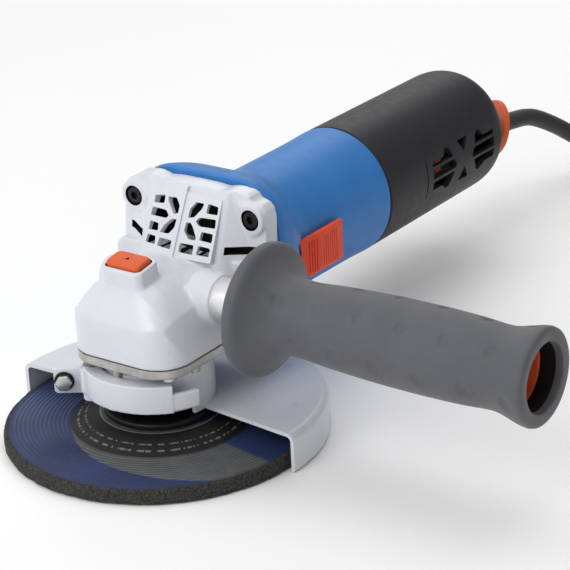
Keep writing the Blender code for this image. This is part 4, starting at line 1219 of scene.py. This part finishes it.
def grip_profile():
    x0, x1 = HANDLE_FLANGE_X, HANDLE_END_X
    body = [(21.0, x0 + 8.0), (17.4, x0 + 11.6), (15.4, x0 + 15.0), (14.6, x0 + 18.5), (14.45, x0 + 24.0),
            (15.4, x0 + 37.0), (16.2, x0 + 56.0), (16.4, x0 + 72.0), (16.1, x0 + 90.0), (15.3, x0 + 103.0),
            (15.7, x0 + 108.0), (16.7, x0 + 112.0), (17.8, x0 + 116.0), (18.2, x0 + 119.0)]
    smooth = [tuple(point) for point in smooth_through([(25.7, x0 + 4.4), (24.6, x0 + 5.6), *body], 0.7)]
    flange = [(4.2, x0), (22.0, x0), (25.0, x0 + 0.5), (25.8, x0 + 1.4), (26.0, x0 + 2.6)]
    mouth = [(17.9, x1 - 0.7), (17.2, x1 - 0.1), (16.2, x1), (13.8, x1), (13.1, x1 - 0.3), (12.9, x1 - 1.2),
             (12.9, x1 - 3.0), (0, x1 - 3.0)]
    return [*flange, *smooth, *mouth, (0, x0 + 15.5), (4.2, x0 + 15.5)]


def dimple_depth(x, degrees):
    """How far the grip is pressed in at a place: six staggered rows of shallow round dimples."""
    pitch, radius, depth = 17.9, 2.7, 0.8
    deepest = 0.0
    for row in range(6):
        turn = (degrees - 15.0 - 60.0 * row + 180.0) % 360.0 - 180.0
        across = math.radians(turn) * 16.0
        start = HANDLE_FLANGE_X + 16.0 + (pitch / 2 if row % 2 else 0.0)
        nearest = start + pitch * min(5, max(0, round((x - start) / pitch)))
        away = math.hypot(x - nearest, across) / radius
        if away < 1:
            deepest = max(deepest, depth * (1 - away ** 4))
    return deepest


def side_handle():
    x0, x1 = HANDLE_FLANGE_X, HANDLE_END_X
    shape = turned(grip_profile(), 160, "X", HANDLE_AXIS)
    for vert in shape.verts:
        u, v = vert.co.y - HANDLE_Y, vert.co.z - HANDLE_Z
        radius = math.hypot(u, v)
        if radius > 14.0 and x0 + 12.0 < vert.co.x < x1 - 3.0:
            share = 1 - dimple_depth(vert.co.x, math.degrees(math.atan2(v, u))) / radius
            vert.co.y, vert.co.z = HANDLE_Y + u * share, HANDLE_Z + v * share
    grip = mesh_object("grip", shape, "grey_rubber")
    # The bore at the grip's end takes a near-black painted shade.
    cut(grip, cylinder(12.8, x1 - 39.0, x1 + 1.0, "X", HANDLE_AXIS, 96), look="dark_inside")
    finished(grip, "housing", "grey_rubber", "handle_grip", sharp=50)
    liner = [(0, x1 - 38.7), (12.6, x1 - 38.7), (12.6, x1 - 9.0), (11.6, x1 - 9.0), (11.6, x1 - 36.5),
             (0, x1 - 36.5)]
    liner = turned(softened(liner, 0.4), 96, "X", HANDLE_AXIS)
    piece("liner", liner, "housing", "orange_plastic", "handle_insert")
    collar = [(4.2, 27.9), (8.4, 27.9), (9.3, 28.8), (9.4, 31.0), (9.4, 44.8), (9.0, 45.7), (4.2, 45.7)]
    collar = turned(softened(collar, 0.6), 96, "X", HANDLE_AXIS)
    piece("collar", collar, "housing", "bright_steel", "handle_collar", look="handle_steel")


# ---- carried-over CAD nodes


def finish_cad_nodes():
    """Every CAD node gets the procedural look of its material slot."""
    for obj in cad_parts.values():
        for place in obj.material_slots:
            if place.material:
                place.material = LOOKS[place.material.name.split(".")[0]]
    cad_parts["switch_module"].material_slots[0].material = LOOKS["switch_case"]


def main():
    place_camera()
    make_cord()
    cord_fittings()
    studio()
    gear_head()
    flange_plate()
    head_fasteners()
    lock_button()
    grinding_wheel()
    wheel_clamping()
    threaded_spindle()
    wheel_guard()
    clamp_fasteners()
    clamp_lever()
    motor_shell()
    switch_slider()
    rear_shell()
    side_handle()
    finish_cad_nodes()


main()
